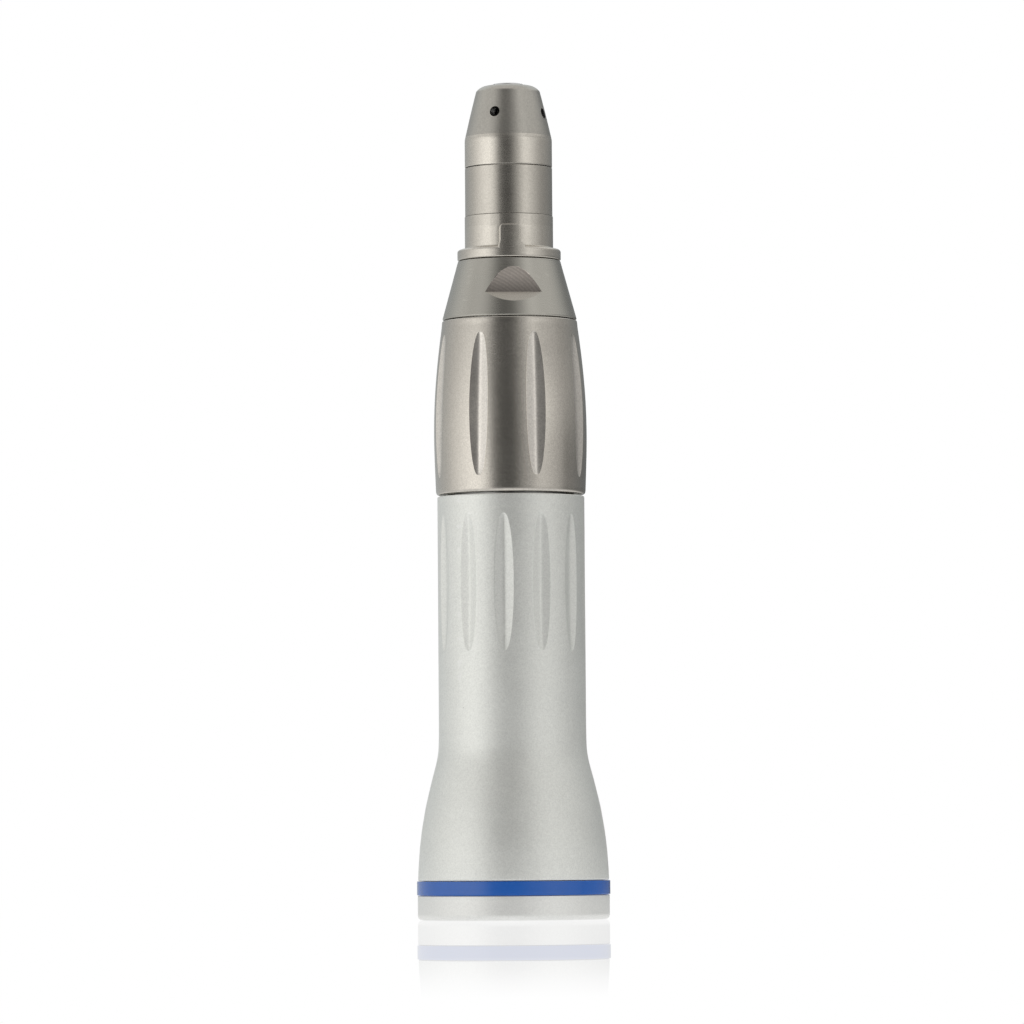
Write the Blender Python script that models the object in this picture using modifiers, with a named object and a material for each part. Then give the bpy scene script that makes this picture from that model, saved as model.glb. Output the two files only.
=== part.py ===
"""Straight low-speed dental handpiece with a twist-lock chuck ring.

Dimensions are in millimetres and are scaled to metres as meshes are made. The
handpiece stands on its motor-side socket with its axis on Z, from the base ring
at z = 0 up to the chuck mouth; +Z points towards the bur.
"""
import math

import bpy
import bmesh
from mathutils import Vector

for old in list(bpy.data.objects):
    bpy.data.objects.remove(old, do_unlink=True)

MILLIMETRE = 0.001

# ---- facets round the axis ---------------------------------------------------
SHELL_FACETS = 32       # outer shells
INNER_FACETS = 20       # small inner pieces
RACE_FACETS = 24        # bearing races and larger inner tubes
O_RING_FACETS = 28

# ---- dimensions shared between pieces ----------------------------------------
CAM_LIFT = 1.20         # travel of the push sleeve
TWIST_DEGREES = 35.0    # travel of the lock ring
CAM_PIN_Z = 48.40
CROSS_PIN_Z = 51.85
CROSS_PIN_HOLE_RADIUS = 0.56
DOG_PIN_Z = 31.0

# ---- finishes: base colour RGBA, metallic, roughness -------------------------
FINISHES = {
    "satin_steel": ((0.62, 0.59, 0.53, 1.0), 1.0, 0.26),
    "matt_steel": ((0.50, 0.48, 0.44, 1.0), 1.0, 0.42),
    "grip_steel": ((0.63, 0.60, 0.54, 1.0), 1.0, 0.28),
    "body_coat": ((0.70, 0.70, 0.67, 1.0), 0.85, 0.50),
    "base_steel": ((0.72, 0.72, 0.69, 1.0), 0.9, 0.36),
    "blue_ring": ((0.035, 0.150, 0.460, 1.0), 0.0, 0.20),
    "inner_steel": ((0.52, 0.52, 0.52, 1.0), 1.0, 0.34),
    "bearing_steel": ((0.66, 0.66, 0.67, 1.0), 1.0, 0.15),
    "cage_polymer": ((0.52, 0.36, 0.16, 1.0), 0.0, 0.50),
    "bush_bronze": ((0.62, 0.40, 0.18, 1.0), 1.0, 0.36),
    "seal_rubber": ((0.02, 0.02, 0.02, 1.0), 0.0, 0.60),
    "spring_steel": ((0.45, 0.44, 0.42, 1.0), 1.0, 0.28),
}


# ---- objects, materials and modifiers ----------------------------------------
def new_collection(name):
    collection = bpy.data.collections.new(name)
    bpy.context.scene.collection.children.link(collection)
    return collection


PARTS = new_collection("straight_handpiece")
CUTTERS = new_collection("cutters")


def apply_finish(obj, finish):
    """Give the object its own material in the named finish."""
    colour, metallic, roughness = FINISHES[finish]
    material = bpy.data.materials.new(obj.name + "_" + finish)
    material.use_nodes = True
    shader = material.node_tree.nodes["Principled BSDF"]
    shader.inputs["Base Color"].default_value = colour
    shader.inputs["Metallic"].default_value = metallic
    shader.inputs["Roughness"].default_value = roughness
    material.diffuse_color = colour
    obj.data.materials.append(material)


def mesh_object(name, points, edges, faces, collection):
    """Mesh object from points in millimetres."""
    mesh = bpy.data.meshes.new(name)
    mesh.from_pydata([tuple(c * MILLIMETRE for c in point) for point in points], edges, faces)
    mesh.update()
    obj = bpy.data.objects.new(name, mesh)
    collection.objects.link(obj)
    return obj


def turned(name, profile, finish, steps=INNER_FACETS):
    """Lathe piece from a closed (radius, z) loop: outer side downwards, then inner."""
    count = len(profile)
    obj = mesh_object(name, [(radius, 0.0, z) for radius, z in profile],
                      [(i, (i + 1) % count) for i in range(count)], [], PARTS)
    screw = obj.modifiers.new("turn", "SCREW")
    screw.axis = "Z"
    screw.angle = 2.0 * math.pi
    screw.steps = steps
    screw.render_steps = steps
    screw.use_smooth_shade = True
    screw.use_normal_calculate = False
    # only profiles that touch the axis need their repeated points welded
    screw.use_merge_vertices = any(radius < 1e-6 for radius, z in profile)
    screw.merge_threshold = 1e-5
    apply_finish(obj, finish)
    return obj


def loft(name, bodies, collection):
    """Closed bodies, each a list of loops with the same point count."""
    points, faces = [], []
    for loops in bodies:
        base = len(points)
        size = len(loops[0])
        for loop in loops:
            points.extend(loop)
        for k in range(len(loops) - 1):
            lower = base + k * size
            upper = lower + size
            for i in range(size):
                j = (i + 1) % size
                faces.append((lower + i, lower + j, upper + j, upper + i))
        last = base + (len(loops) - 1) * size
        faces.append(tuple(base + i for i in reversed(range(size))))
        faces.append(tuple(last + i for i in range(size)))
    obj = mesh_object(name, points, [], faces, collection)
    editable = bmesh.new()
    editable.from_mesh(obj.data)
    bmesh.ops.recalc_face_normals(editable, faces=editable.faces)
    editable.to_mesh(obj.data)
    editable.free()
    return obj


def make_cutter(name, bodies):
    cutter = loft(name, bodies, CUTTERS)
    cutter.hide_render = True
    cutter.display_type = "WIRE"
    return cutter


def add_boolean(obj, cutter, operation="DIFFERENCE"):
    modifier = obj.modifiers.new("cut_" + cutter.name, "BOOLEAN")
    modifier.operation = operation
    modifier.solver = "EXACT"
    modifier.object = cutter


def cut(obj, cutter_name, bodies):
    add_boolean(obj, make_cutter(cutter_name, bodies))


# ---- shapes ------------------------------------------------------------------
def spin(point, degrees):
    """Turn a point about Z."""
    x, y, z = point
    cosine = math.cos(math.radians(degrees))
    sine = math.sin(math.radians(degrees))
    return (x * cosine - y * sine, x * sine + y * cosine, z)


def both_sides(near, far):
    """A span from near to far and its mirror across the axis."""
    return ((near, far), (-far, -near))


def tube(inner, outer, bottom, top):
    """Profile of a plain tube."""
    return [(outer, top), (outer, bottom), (inner, bottom), (inner, top)]


def round_section(ring_radius, wire_radius, z, points=6):
    """Profile of a round-section ring, from the top down the outer side."""
    angles = [2 * math.pi * i / points for i in range(points)]
    return [(ring_radius + wire_radius * math.sin(angle), z + wire_radius * math.cos(angle))
            for angle in angles]


def circle(radius, centre, axis, sides):
    across = axis.orthogonal().normalized()
    along = axis.cross(across)
    angles = [2 * math.pi * i / sides for i in range(sides)]
    return [tuple(centre + across * (radius * math.cos(angle)) +
                  along * (radius * math.sin(angle))) for angle in angles]


def cylinder(radius, start, end, sides=12):
    start, end = Vector(start), Vector(end)
    axis = (end - start).normalized()
    return [circle(radius, centre, axis, sides) for centre in (start, end)]


def cylinder_along_x(radius, x_span, z):
    return cylinder(radius, (x_span[0], 0, z), (x_span[1], 0, z))


def stadium(half_width, z_span, x_span, segments=6):
    """Round-ended slot prism along X; z_span joins the centres of its end arcs."""
    outline = []
    for centre_z, first_angle in ((z_span[1], 0.0), (z_span[0], math.pi)):
        for i in range(segments + 1):
            angle = first_angle + math.pi * i / segments
            outline.append((half_width * math.cos(angle),
                            centre_z + half_width * math.sin(angle)))
    return [[(x, y, z) for y, z in outline] for x in x_span]


def box(x_span, y_span, z_span, degrees=0.0):
    (x0, x1), (y0, y1) = x_span, y_span
    return [[spin((x, y, z), degrees) for x, y in ((x0, y0), (x1, y0), (x1, y1), (x0, y1))]
            for z in z_span]


def flute_section(valley_radius, z, half_width_per_depth, degrees):
    """V section with its point at the valley, opening outwards clear of the shell."""
    depth = 0.9
    half_width = depth * half_width_per_depth
    mouth_y = -(valley_radius + depth)
    triangle = ((0.0, -valley_radius), (half_width, mouth_y), (-half_width, mouth_y))
    return [spin((x, y, z), degrees) for x, y in triangle]


def pin(name, radius, x_start, x_end, z, chamfer=0.08):
    """Turned pin along X with a small chamfer at both ends."""
    start, end = Vector((x_start, 0, z)), Vector((x_end, 0, z))
    axis = (end - start).normalized()
    loops = [circle(ring_radius, centre, axis, sides=12) for ring_radius, centre in (
        (radius - chamfer, start), (radius, start + axis * chamfer),
        (radius, end - axis * chamfer), (radius - chamfer, end))]
    obj = loft(name, [loops], PARTS)
    for face in obj.data.polygons:
        face.use_smooth = len(face.vertices) == 4
    apply_finish(obj, "bearing_steel")


# ---- nose cap with four side holes -------------------------------------------
BAND_RADIUS = 4.57      # straight band on the cap, and the sleeve below it
CAP_MOUTH_RADIUS = 1.78
CAP_BOTTOM_Z = 78.65
CAP_HOLE_RADIUS = 0.53
CAP_HOLE_Z = 84.20
CAP_HOLE_PHASE = -20.9  # degrees from -Y
CAP_HOLE_REACH = (2.2, 5.2)

nose_cap = turned("nose_cap", [
    (1.92, 87.24), (2.35, 87.22), (2.74, 87.10), (3.06, 86.91), (3.27, 86.70),
    (3.37, 86.50), (4.00, 83.90), (4.42, 82.20), (4.52, 81.78),
    (BAND_RADIUS, 81.50), (BAND_RADIUS, 78.72), (4.51, CAP_BOTTOM_Z),
    (4.08, CAP_BOTTOM_Z), (4.02, 78.72), (4.02, 81.05), (3.56, 81.05),
    (3.56, 81.60), (2.60, 81.60), (2.60, 85.50), (CAP_MOUTH_RADIUS, 85.50),
    (CAP_MOUTH_RADIUS, 87.10)], "matt_steel", SHELL_FACETS)
cut(nose_cap, "cap_holes", [
    cylinder(CAP_HOLE_RADIUS,
             *(spin((0.0, -reach, CAP_HOLE_Z), CAP_HOLE_PHASE + 90.0 * k)
               for reach in CAP_HOLE_REACH), sides=14)
    for k in range(4)])

# ---- nose sleeve -------------------------------------------------------------
turned("nose_sleeve", [
    (4.50, 78.52), (BAND_RADIUS, 78.45), (BAND_RADIUS, 73.57), (4.51, 73.50),
    (4.05, 73.50), (4.05, 78.52)], "satin_steel", SHELL_FACETS)

# ---- nose base with flange and locating key ----------------------------------
LOWER_SLEEVE_RADIUS = 4.62
FLANGE_RADIUS = 5.41
FLANGE_BOTTOM_Z = 68.85
KEY_PHASE = 1.2         # degrees from -Y
KEY_HALF_WIDTH = 1.12
KEY_RADIUS = 5.40
KEY_TOP_Z = 72.26
KEY_ROOT_Y = -4.25      # buried in the sleeve wall
KEY_EDGE_DROP = 0.09    # rounding of the two long outer edges
KEY_EDGE_INSET = 0.08

# z, extra width towards -X, extra width towards +X
KEY_STATIONS = (
    (69.30, 0.10, 0.45), (70.12, 0.10, 0.45), (70.35, 0.05, 0.18), (70.70, 0.0, 0.0),
    (KEY_TOP_Z - 0.42, 0.0, 0.0), (KEY_TOP_Z - 0.20, -0.06, -0.06),
    (KEY_TOP_Z - 0.06, -0.20, -0.20), (KEY_TOP_Z, -0.42, -0.42))


def key_section(z, left_extra, right_extra):
    left = -KEY_HALF_WIDTH - left_extra
    right = KEY_HALF_WIDTH + right_extra

    def on_arc(x, radius):
        return (x, -math.sqrt(radius ** 2 - x * x))

    edge_radius = KEY_RADIUS - KEY_EDGE_DROP
    face_width = right - left - 2 * KEY_EDGE_INSET
    outline = [(left, KEY_ROOT_Y), on_arc(left, edge_radius)]
    outline += [on_arc(left + KEY_EDGE_INSET + face_width * k / 5.0, KEY_RADIUS)
                for k in range(6)]
    outline += [on_arc(right, edge_radius), (right, KEY_ROOT_Y)]
    return [spin((x, y, z), KEY_PHASE) for x, y in outline]


nose_base = turned("nose_base", [
    (3.87, 81.00), (3.95, 80.92), (3.95, 78.10), (3.52, 78.10), (3.52, 77.50),
    (3.95, 77.50), (3.95, 73.44), (4.55, 73.44), (LOWER_SLEEVE_RADIUS, 73.37),
    (LOWER_SLEEVE_RADIUS, 70.08), (5.20, 69.97), (5.34, 69.86),
    (FLANGE_RADIUS, 69.66), (FLANGE_RADIUS, 68.93), (5.34, FLANGE_BOTTOM_Z),
    (4.40, FLANGE_BOTTOM_Z), (4.40, 61.80), (3.56, 61.80), (3.56, 68.05),
    (3.15, 68.05), (3.15, 78.90), (3.56, 78.90), (3.56, 81.00)],
    "satin_steel", SHELL_FACETS)
key_block = make_cutter("key_block", [[key_section(*station) for station in KEY_STATIONS]])
add_boolean(nose_base, key_block, "UNION")

# ---- nose cone with two wrench flats -----------------------------------------
CONE_TOP_Z = 68.72
CONE_BOTTOM_Z = 62.75
FLAT_PHASE = 4.4        # degrees from -Y
FLAT_DISTANCE = 5.63    # from the axis
FLAT_RIDGE_Z = 65.13    # lower edge of the flat
FLAT_CUTTER_TOP_Z = 69.6
FLAT_RUNOUT = 2.0       # 45 degree slope below the ridge

nose_cone = turned("nose_cone", [
    (5.33, CONE_TOP_Z), (5.40, 68.62), (6.98, 62.83), (6.91, CONE_BOTTOM_Z),
    (5.87, CONE_BOTTOM_Z), (5.87, 63.50), (4.46, 63.50), (4.46, CONE_TOP_Z)],
    "satin_steel", SHELL_FACETS)
flat_outline = (        # distance from the axis, z
    (FLAT_DISTANCE, FLAT_CUTTER_TOP_Z),
    (FLAT_DISTANCE, FLAT_RIDGE_Z),
    (FLAT_DISTANCE + FLAT_RUNOUT, FLAT_RIDGE_Z - FLAT_RUNOUT),
    (FLAT_DISTANCE + FLAT_RUNOUT, FLAT_CUTTER_TOP_Z))
cut(nose_cone, "wrench_flats", [
    [[spin((x, -distance, z), FLAT_PHASE + turn) for distance, z in flat_outline]
     for x in (-5.0, 5.0)]
    for turn in (0.0, 180.0)])

# ---- core tube, slotted lengthwise for the cam pins --------------------------
CORE_RADIUS = 5.80

core_tube = turned("core_tube", [
    (5.72, 63.40), (CORE_RADIUS, 63.30), (CORE_RADIUS, 33.10), (5.70, 33.00),
    (4.56, 33.00), (4.56, 42.60), (4.00, 42.60), (4.00, 43.60), (5.00, 43.60),
    (5.00, 61.60), (4.46, 61.90), (4.46, 63.40)], "inner_steel", RACE_FACETS)
cut(core_tube, "core_slots", [
    stadium(half_width=0.80, z_span=(CAM_PIN_Z, CAM_PIN_Z + CAM_LIFT), x_span=span)
    for span in both_sides(4.2, 6.6)])

# ---- rear body with shallow flutes -------------------------------------------
BODY_RADIUS = 7.68
BODY_TOP_Z = 44.10
BODY_FLUTES = 12
BODY_FLUTE_PHASE = 24.2
BODY_FLUTE_BOTTOM_Z = 28.1
BODY_FLUTE_TOP_Z = 42.2
BODY_FLUTE_DEPTH = 0.36
BODY_FLUTE_OVERRUN = 0.5    # cutter length past each flute end
BODY_FLUTE_HALF_WIDTH_PER_DEPTH = 3.70


def body_flute(degrees):
    """Cutter whose valley is a parabola, deepest at mid height."""
    middle = 0.5 * (BODY_FLUTE_BOTTOM_Z + BODY_FLUTE_TOP_Z)
    half_length = 0.5 * (BODY_FLUTE_TOP_Z - BODY_FLUTE_BOTTOM_Z)
    sections = []
    for i in range(9):
        z = middle + (half_length + BODY_FLUTE_OVERRUN) * (i / 4.0 - 1.0)
        valley = BODY_RADIUS - BODY_FLUTE_DEPTH * (1.0 - ((z - middle) / half_length) ** 2)
        sections.append(flute_section(valley, z, BODY_FLUTE_HALF_WIDTH_PER_DEPTH, degrees))
    return sections


rear_body = turned("rear_body", [
    (7.60, BODY_TOP_Z), (BODY_RADIUS, 44.00), (BODY_RADIUS, 18.80), (7.74, 17.60),
    (7.95, 16.40), (8.42, 14.60), (8.93, 12.50), (9.34, 10.40), (9.65, 8.30),
    (9.83, 6.20), (9.95, 4.33), (9.90, 4.08), (9.36, 4.08), (9.36, 6.30),
    (8.30, 6.30), (8.30, 9.05), (7.14, 9.05), (7.14, 27.20), (5.20, 27.20),
    (5.20, 32.90), (5.87, 32.90), (5.87, BODY_TOP_Z)], "body_coat", SHELL_FACETS)
body_flutes = [body_flute(BODY_FLUTE_PHASE + 360.0 * k / BODY_FLUTES)
               for k in range(BODY_FLUTES)]
# neighbouring cutters overlap above the surface, so alternate ones are cut together
cut(rear_body, "body_flutes_even", body_flutes[0::2])
cut(rear_body, "body_flutes_odd", body_flutes[1::2])

# ---- blue ring, base ring and coupling sleeve at the motor end ---------------
BLUE_RADIUS = 10.07
BASE_RADIUS = 10.0
BASE_TOP_Z = 2.53

turned("blue_ring", [
    (9.98, 3.98), (BLUE_RADIUS, 3.88), (BLUE_RADIUS, 2.70), (9.98, 2.60),
    (9.36, 2.60), (9.36, 3.98)], "blue_ring", SHELL_FACETS)
turned("base_ring", [
    (8.10, 7.70), (8.20, 7.60), (8.20, 6.10), (9.30, 6.10), (9.30, BASE_TOP_Z),
    (9.92, BASE_TOP_Z), (BASE_RADIUS, 2.35), (BASE_RADIUS, 0.45), (9.88, 0.13),
    (9.58, 0.0), (8.40, 0.0), (7.50, 0.90), (7.50, 7.70)],
    "base_steel", SHELL_FACETS)
turned("coupling_sleeve", [
    (7.00, 27.10), (7.08, 27.00), (7.08, 9.00), (8.10, 9.00), (8.20, 8.90),
    (8.20, 7.80), (6.95, 7.80), (6.50, 8.35), (6.50, 19.50), (6.80, 19.80),
    (6.80, 20.50), (6.50, 20.80), (6.50, 27.10)], "inner_steel", RACE_FACETS)

# ---- ball bearings: two races and a cage -------------------------------------
# race spans are (inner, outer) radius; the cage reaches cage_half_width each
# side of the pitch circle
SMALL_BEARING = dict(
    outer_race=(3.17, 3.50), outer_height=2.45, inner_race=(2.03, 2.38), inner_height=2.50,
    balls=7, ball_radius=0.36, cage_half_width=0.175, cage_half_height=0.22)
LARGE_BEARING = dict(
    outer_race=(4.00, 4.50), outer_height=3.00, inner_race=(2.54, 3.00), inner_height=3.00,
    balls=8, ball_radius=0.46, cage_half_width=0.24, cage_half_height=0.28)


def ball(radius, centre, rings=4, sides=8):
    """Ball with small flat poles, as level loops from the bottom up."""
    centre_x, centre_y, centre_z = centre
    loops = []
    for i in range(rings + 1):
        polar = math.pi * (0.06 + 0.88 * i / rings)
        ring_radius = radius * math.sin(polar)
        z = centre_z - radius * math.cos(polar)
        loops.append([(centre_x + ring_radius * math.cos(2 * math.pi * j / sides),
                       centre_y + ring_radius * math.sin(2 * math.pi * j / sides), z)
                      for j in range(sides)])
    return loops


def bearing(name, bottom, outer_race, outer_height, inner_race, inner_height,
            balls, ball_radius, cage_half_width, cage_half_height):
    turned(name + "_outer_race", tube(*outer_race, bottom, bottom + outer_height),
           "bearing_steel", RACE_FACETS)
    turned(name + "_inner_race", tube(*inner_race, bottom, bottom + inner_height),
           "bearing_steel", RACE_FACETS)

    # cage ring and balls are made one body
    pitch_radius = 0.5 * (inner_race[1] + outer_race[0])
    middle = bottom + 0.5 * inner_height
    cage = turned(name + "_cage",
                  tube(pitch_radius - cage_half_width, pitch_radius + cage_half_width,
                       middle - cage_half_height, middle + cage_half_height),
                  "cage_polymer", balls * 3)
    angles = [2 * math.pi * (k + 0.5) / balls for k in range(balls)]
    ball_set = make_cutter(name + "_cage_balls", [
        ball(ball_radius, (pitch_radius * math.cos(angle), pitch_radius * math.sin(angle),
                           middle)) for angle in angles])
    add_boolean(cage, ball_set, "UNION")


bearing("front_bearing", 79.00, **SMALL_BEARING)
bearing("middle_bearing", 65.50, **SMALL_BEARING)
bearing("rear_bearing", 39.50, **LARGE_BEARING)

# ---- bearing nuts, slotted across their lower faces, and preload washer ------
middle_nut = turned("middle_bearing_nut", tube(2.90, 3.50, 63.70, 65.40), "inner_steel")
cut(middle_nut, "middle_nut_slots", [
    box(x_span=(-0.4, 0.4), y_span=span, z_span=(63.2, 64.3))
    for span in both_sides(2.4, 4.0)])

turned("preload_washer", [
    (4.48, 39.30), (4.48, 38.90), (3.50, 38.60), (3.40, 38.80), (4.00, 39.25)],
    "spring_steel")

rear_nut = turned("rear_bearing_nut", [
    (4.50, 38.50), (4.50, 36.10), (4.40, 36.00), (2.90, 36.00), (2.80, 36.10),
    (2.80, 38.40), (2.90, 38.50)], "inner_steel")
cut(rear_nut, "rear_nut_slots", [
    box(x_span=(-0.45, 0.45), y_span=span, z_span=(35.5, 36.8))
    for span in both_sides(2.4, 5.0)])

# ---- O-rings: name, ring radius, wire radius, z ------------------------------
for name, ring_radius, wire_radius, z in (
        ("cap_o_ring", 3.76, 0.20, 77.80),
        ("lock_o_ring_front", 6.21, 0.33, 60.30),
        ("lock_o_ring_rear", 6.21, 0.33, 45.00)):
    turned(name, round_section(ring_radius, wire_radius, z), "seal_rubber", O_RING_FACETS)

# ---- twisting lock ring with straight flutes ---------------------------------
LOCK_TOP_Z = 62.45
LOCK_BOTTOM_Z = 44.30
LOCK_BORE_RADIUS = 6.62
LOCK_FLUTES = 8
LOCK_FLUTE_PHASE = 19.45
LOCK_FLUTE_TOP = (7.24, 60.85)      # radius, z of a point high on the valley line
LOCK_FLUTE_BOTTOM = (7.855, 45.6)   # radius, z of a point low on the valley line
LOCK_CUTTER_Z_SPAN = (45.2, 62.6)
LOCK_FLUTE_HALF_WIDTH_PER_DEPTH = 2.85


def lock_flute(degrees):
    """Cutter whose valley is the straight line through the two flute points."""
    bottom_radius, bottom_z = LOCK_FLUTE_BOTTOM
    slope = (LOCK_FLUTE_TOP[0] - bottom_radius) / (LOCK_FLUTE_TOP[1] - bottom_z)
    return [flute_section(bottom_radius + slope * (z - bottom_z), z,
                          LOCK_FLUTE_HALF_WIDTH_PER_DEPTH, degrees)
            for z in LOCK_CUTTER_Z_SPAN]


lock_ring = turned("lock_ring", [
    (6.98, LOCK_TOP_Z), (7.08, 62.36), (7.17, 61.50), (7.34, 60.00), (7.54, 58.40),
    (7.74, 56.30), (7.88, 54.30), (7.96, 52.40), (7.98, 50.50), (7.95, 48.60),
    (7.89, 46.40), (7.83, 45.10), (7.76, 44.55), (7.60, LOCK_BOTTOM_Z),
    (LOCK_BORE_RADIUS, LOCK_BOTTOM_Z), (LOCK_BORE_RADIUS, 61.00), (5.92, 61.00),
    (5.92, LOCK_TOP_Z)], "grip_steel", SHELL_FACETS)
cut(lock_ring, "lock_flutes", [
    lock_flute(LOCK_FLUTE_PHASE + 360.0 * k / LOCK_FLUTES) for k in range(LOCK_FLUTES)])

# ---- cam ring: two helical slots turn the twist into lift --------------------
CAM_MEAN_RADIUS = 6.2
CAM_SLOT_HALF_WIDTH = 0.82
CAM_CUTTER_RADII = (5.6, 6.9)
CAM_END_ANGLE = math.radians(86.0)  # end arcs stop short of a zero-width tip


def cam_slot(side_degrees):
    """Round-ended slot laid along the helix, as sections across its path."""
    run = -math.radians(TWIST_DEGREES) * CAM_MEAN_RADIUS
    length = math.hypot(run, CAM_LIFT)
    run_share, lift_share = run / length, CAM_LIFT / length

    stations = []       # distance along the slot, half width there
    for i in range(4):
        angle = CAM_END_ANGLE * (1.0 - i / 3.0)
        stations.append((-CAM_SLOT_HALF_WIDTH * math.sin(angle),
                         CAM_SLOT_HALF_WIDTH * math.cos(angle)))
    for i in range(1, 5):
        stations.append((length * i / 4.0, CAM_SLOT_HALF_WIDTH))
    for i in range(1, 4):
        angle = CAM_END_ANGLE * i / 3.0
        stations.append((length + CAM_SLOT_HALF_WIDTH * math.sin(angle),
                         CAM_SLOT_HALF_WIDTH * math.cos(angle)))

    inner, outer = CAM_CUTTER_RADII
    loops = []
    for along, half_width in stations:
        loop = []
        for radius, sign in ((inner, -1), (outer, -1), (outer, 1), (inner, 1)):
            across = sign * half_width
            arc = along * run_share - across * lift_share
            z = CAM_PIN_Z + along * lift_share + across * run_share
            loop.append(spin((radius, 0.0, z),
                             side_degrees + math.degrees(arc / CAM_MEAN_RADIUS)))
        loops.append(loop)
    return loops


cam_ring = turned("cam_ring", tube(5.90, 6.56, 45.90, 51.90), "inner_steel", RACE_FACETS)
cut(cam_ring, "cam_slots", [cam_slot(side) for side in (0.0, 180.0)])

# ---- glide bush --------------------------------------------------------------
turned("glide_bush", tube(5.88, 6.54, 53.00, 57.00), "bush_bronze", RACE_FACETS)

# ---- sliding push sleeve with its two cam pins -------------------------------
push_sleeve = turned("push_sleeve", tube(3.68, 4.92, 46.30, 50.90),
                     "inner_steel", RACE_FACETS)
cut(push_sleeve, "push_sleeve_holes", [
    cylinder_along_x(radius=0.75, x_span=span, z=CAM_PIN_Z) for span in both_sides(3.2, 5.5)])
for name, side in (("cam_pin_right", 1), ("cam_pin_left", -1)):
    pin(name, radius=0.70, x_start=side * 4.0, x_end=side * 6.45, z=CAM_PIN_Z)

# ---- spindle, slotted for the cross pin --------------------------------------
SPINDLE_RADIUS = 1.96
SPINDLE_BORE_RADIUS = 1.56

spindle = turned("spindle", [
    (1.86, 85.20), (SPINDLE_RADIUS, 85.10), (SPINDLE_RADIUS, 65.45), (2.50, 65.45),
    (2.50, 61.40), (3.40, 61.40), (3.50, 61.30), (3.50, 45.70), (3.44, 45.60),
    (2.95, 45.60), (2.95, 60.50), (SPINDLE_BORE_RADIUS, 60.50),
    (SPINDLE_BORE_RADIUS, 83.20), (1.72, 85.20)], "inner_steel")
cut(spindle, "spindle_cross_slots", [
    stadium(half_width=0.60, z_span=(51.80, 52.90), x_span=span)
    for span in both_sides(2.6, 4.0)])

turned("spindle_spacer", tube(2.03, 2.50, 68.05, 78.95), "inner_steel")
turned("spindle_nut", [
    (2.42, 83.00), (2.50, 82.92), (2.50, 81.60), (2.03, 81.60), (2.03, 83.00)],
    "inner_steel")

# ---- rear shaft and slotted drive dog, pinned together -----------------------
DOG_RADIUS = 3.0

rear_shaft = turned("rear_shaft", [
    (0.0, 48.50), (2.78, 48.50), (2.88, 48.40), (2.88, 45.50), (3.50, 45.50),
    (3.50, 44.90), (3.00, 44.90), (3.00, 42.60), (2.48, 42.60), (2.48, 36.00),
    (2.00, 36.00), (2.00, 29.60), (1.90, 29.50), (0.0, 29.50)], "inner_steel")
drive_dog = turned("drive_dog", [
    (2.90, 32.50), (DOG_RADIUS, 32.40), (DOG_RADIUS, 27.60), (2.90, 27.50),
    (2.06, 27.50), (2.06, 32.50)], "inner_steel")
cut(drive_dog, "dog_slot", [
    box(x_span=(-0.65, 0.65), y_span=span, z_span=(26.8, 29.3))
    for span in both_sides(1.2, 3.6)])
dog_pin_hole = make_cutter("dog_pin_hole", [
    cylinder_along_x(radius=0.46, x_span=(-3.6, 3.6), z=DOG_PIN_Z)])
add_boolean(drive_dog, dog_pin_hole)
add_boolean(rear_shaft, dog_pin_hole)
pin("dog_pin", radius=0.40, x_start=-2.90, x_end=2.90, z=DOG_PIN_Z)

# ---- chuck spring with closed end coils --------------------------------------
COIL_RADIUS = 2.38
WIRE_RADIUS = 0.30
SPRING_BOTTOM_Z = 53.0
SPRING_TOP_Z = 60.3
END_TURNS = 1.0         # closed turns at each end
ACTIVE_TURNS = 5.0
POINTS_PER_TURN = 10


def spring_points():
    turns = 2 * END_TURNS + ACTIVE_TURNS
    steps = int(turns * POINTS_PER_TURN)
    low, high = SPRING_BOTTOM_Z + WIRE_RADIUS, SPRING_TOP_Z - WIRE_RADIUS
    closed_rise = 2.1 * WIRE_RADIUS * END_TURNS     # just clear of touching coils
    active_rise = (high - low) - 2 * closed_rise
    points = []
    for i in range(steps + 1):
        turn = turns * i / steps
        if turn <= END_TURNS:
            z = low + closed_rise * turn / END_TURNS
        elif turn >= END_TURNS + ACTIVE_TURNS:
            z = high - closed_rise * (turns - turn) / END_TURNS
        else:
            z = low + closed_rise + active_rise * (turn - END_TURNS) / ACTIVE_TURNS
        angle = 2 * math.pi * turn
        points.append((COIL_RADIUS * math.cos(angle), COIL_RADIUS * math.sin(angle), z))
    return points


curve = bpy.data.curves.new("chuck_spring", "CURVE")
curve.dimensions = "3D"
curve.bevel_depth = WIRE_RADIUS * MILLIMETRE
curve.bevel_resolution = 2
curve.resolution_u = 1
curve.render_resolution_u = 0
curve.use_fill_caps = True
coil_points = spring_points()
spline = curve.splines.new("POLY")
spline.points.add(len(coil_points) - 1)
for spline_point, position in zip(spline.points, coil_points):
    spline_point.co = (*(c * MILLIMETRE for c in position), 1.0)
chuck_spring = bpy.data.objects.new("chuck_spring", curve)
PARTS.objects.link(chuck_spring)
apply_finish(chuck_spring, "spring_steel")

# ---- collet with three slits -------------------------------------------------
COLLET_TOP_Z = 87.45
BUR_BORE_RADIUS = 1.19  # for a 2.35 mm bur shank

collet = turned("collet", [
    (1.34, COLLET_TOP_Z), (1.56, 87.38), (1.64, 87.25), (1.64, 84.70), (1.50, 83.20),
    (1.50, 53.00), (1.30, 53.00), (1.22, 53.10), (1.22, 70.00),
    (BUR_BORE_RADIUS, 70.20), (BUR_BORE_RADIUS, 87.28), (1.28, COLLET_TOP_Z)],
    "bearing_steel")
cut(collet, "collet_slits", [
    box(x_span=(0.7, 2.4), y_span=(-0.13, 0.13), z_span=(70.0, 88.4),
        degrees=90.0 + 120.0 * k)
    for k in range(3)])

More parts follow.
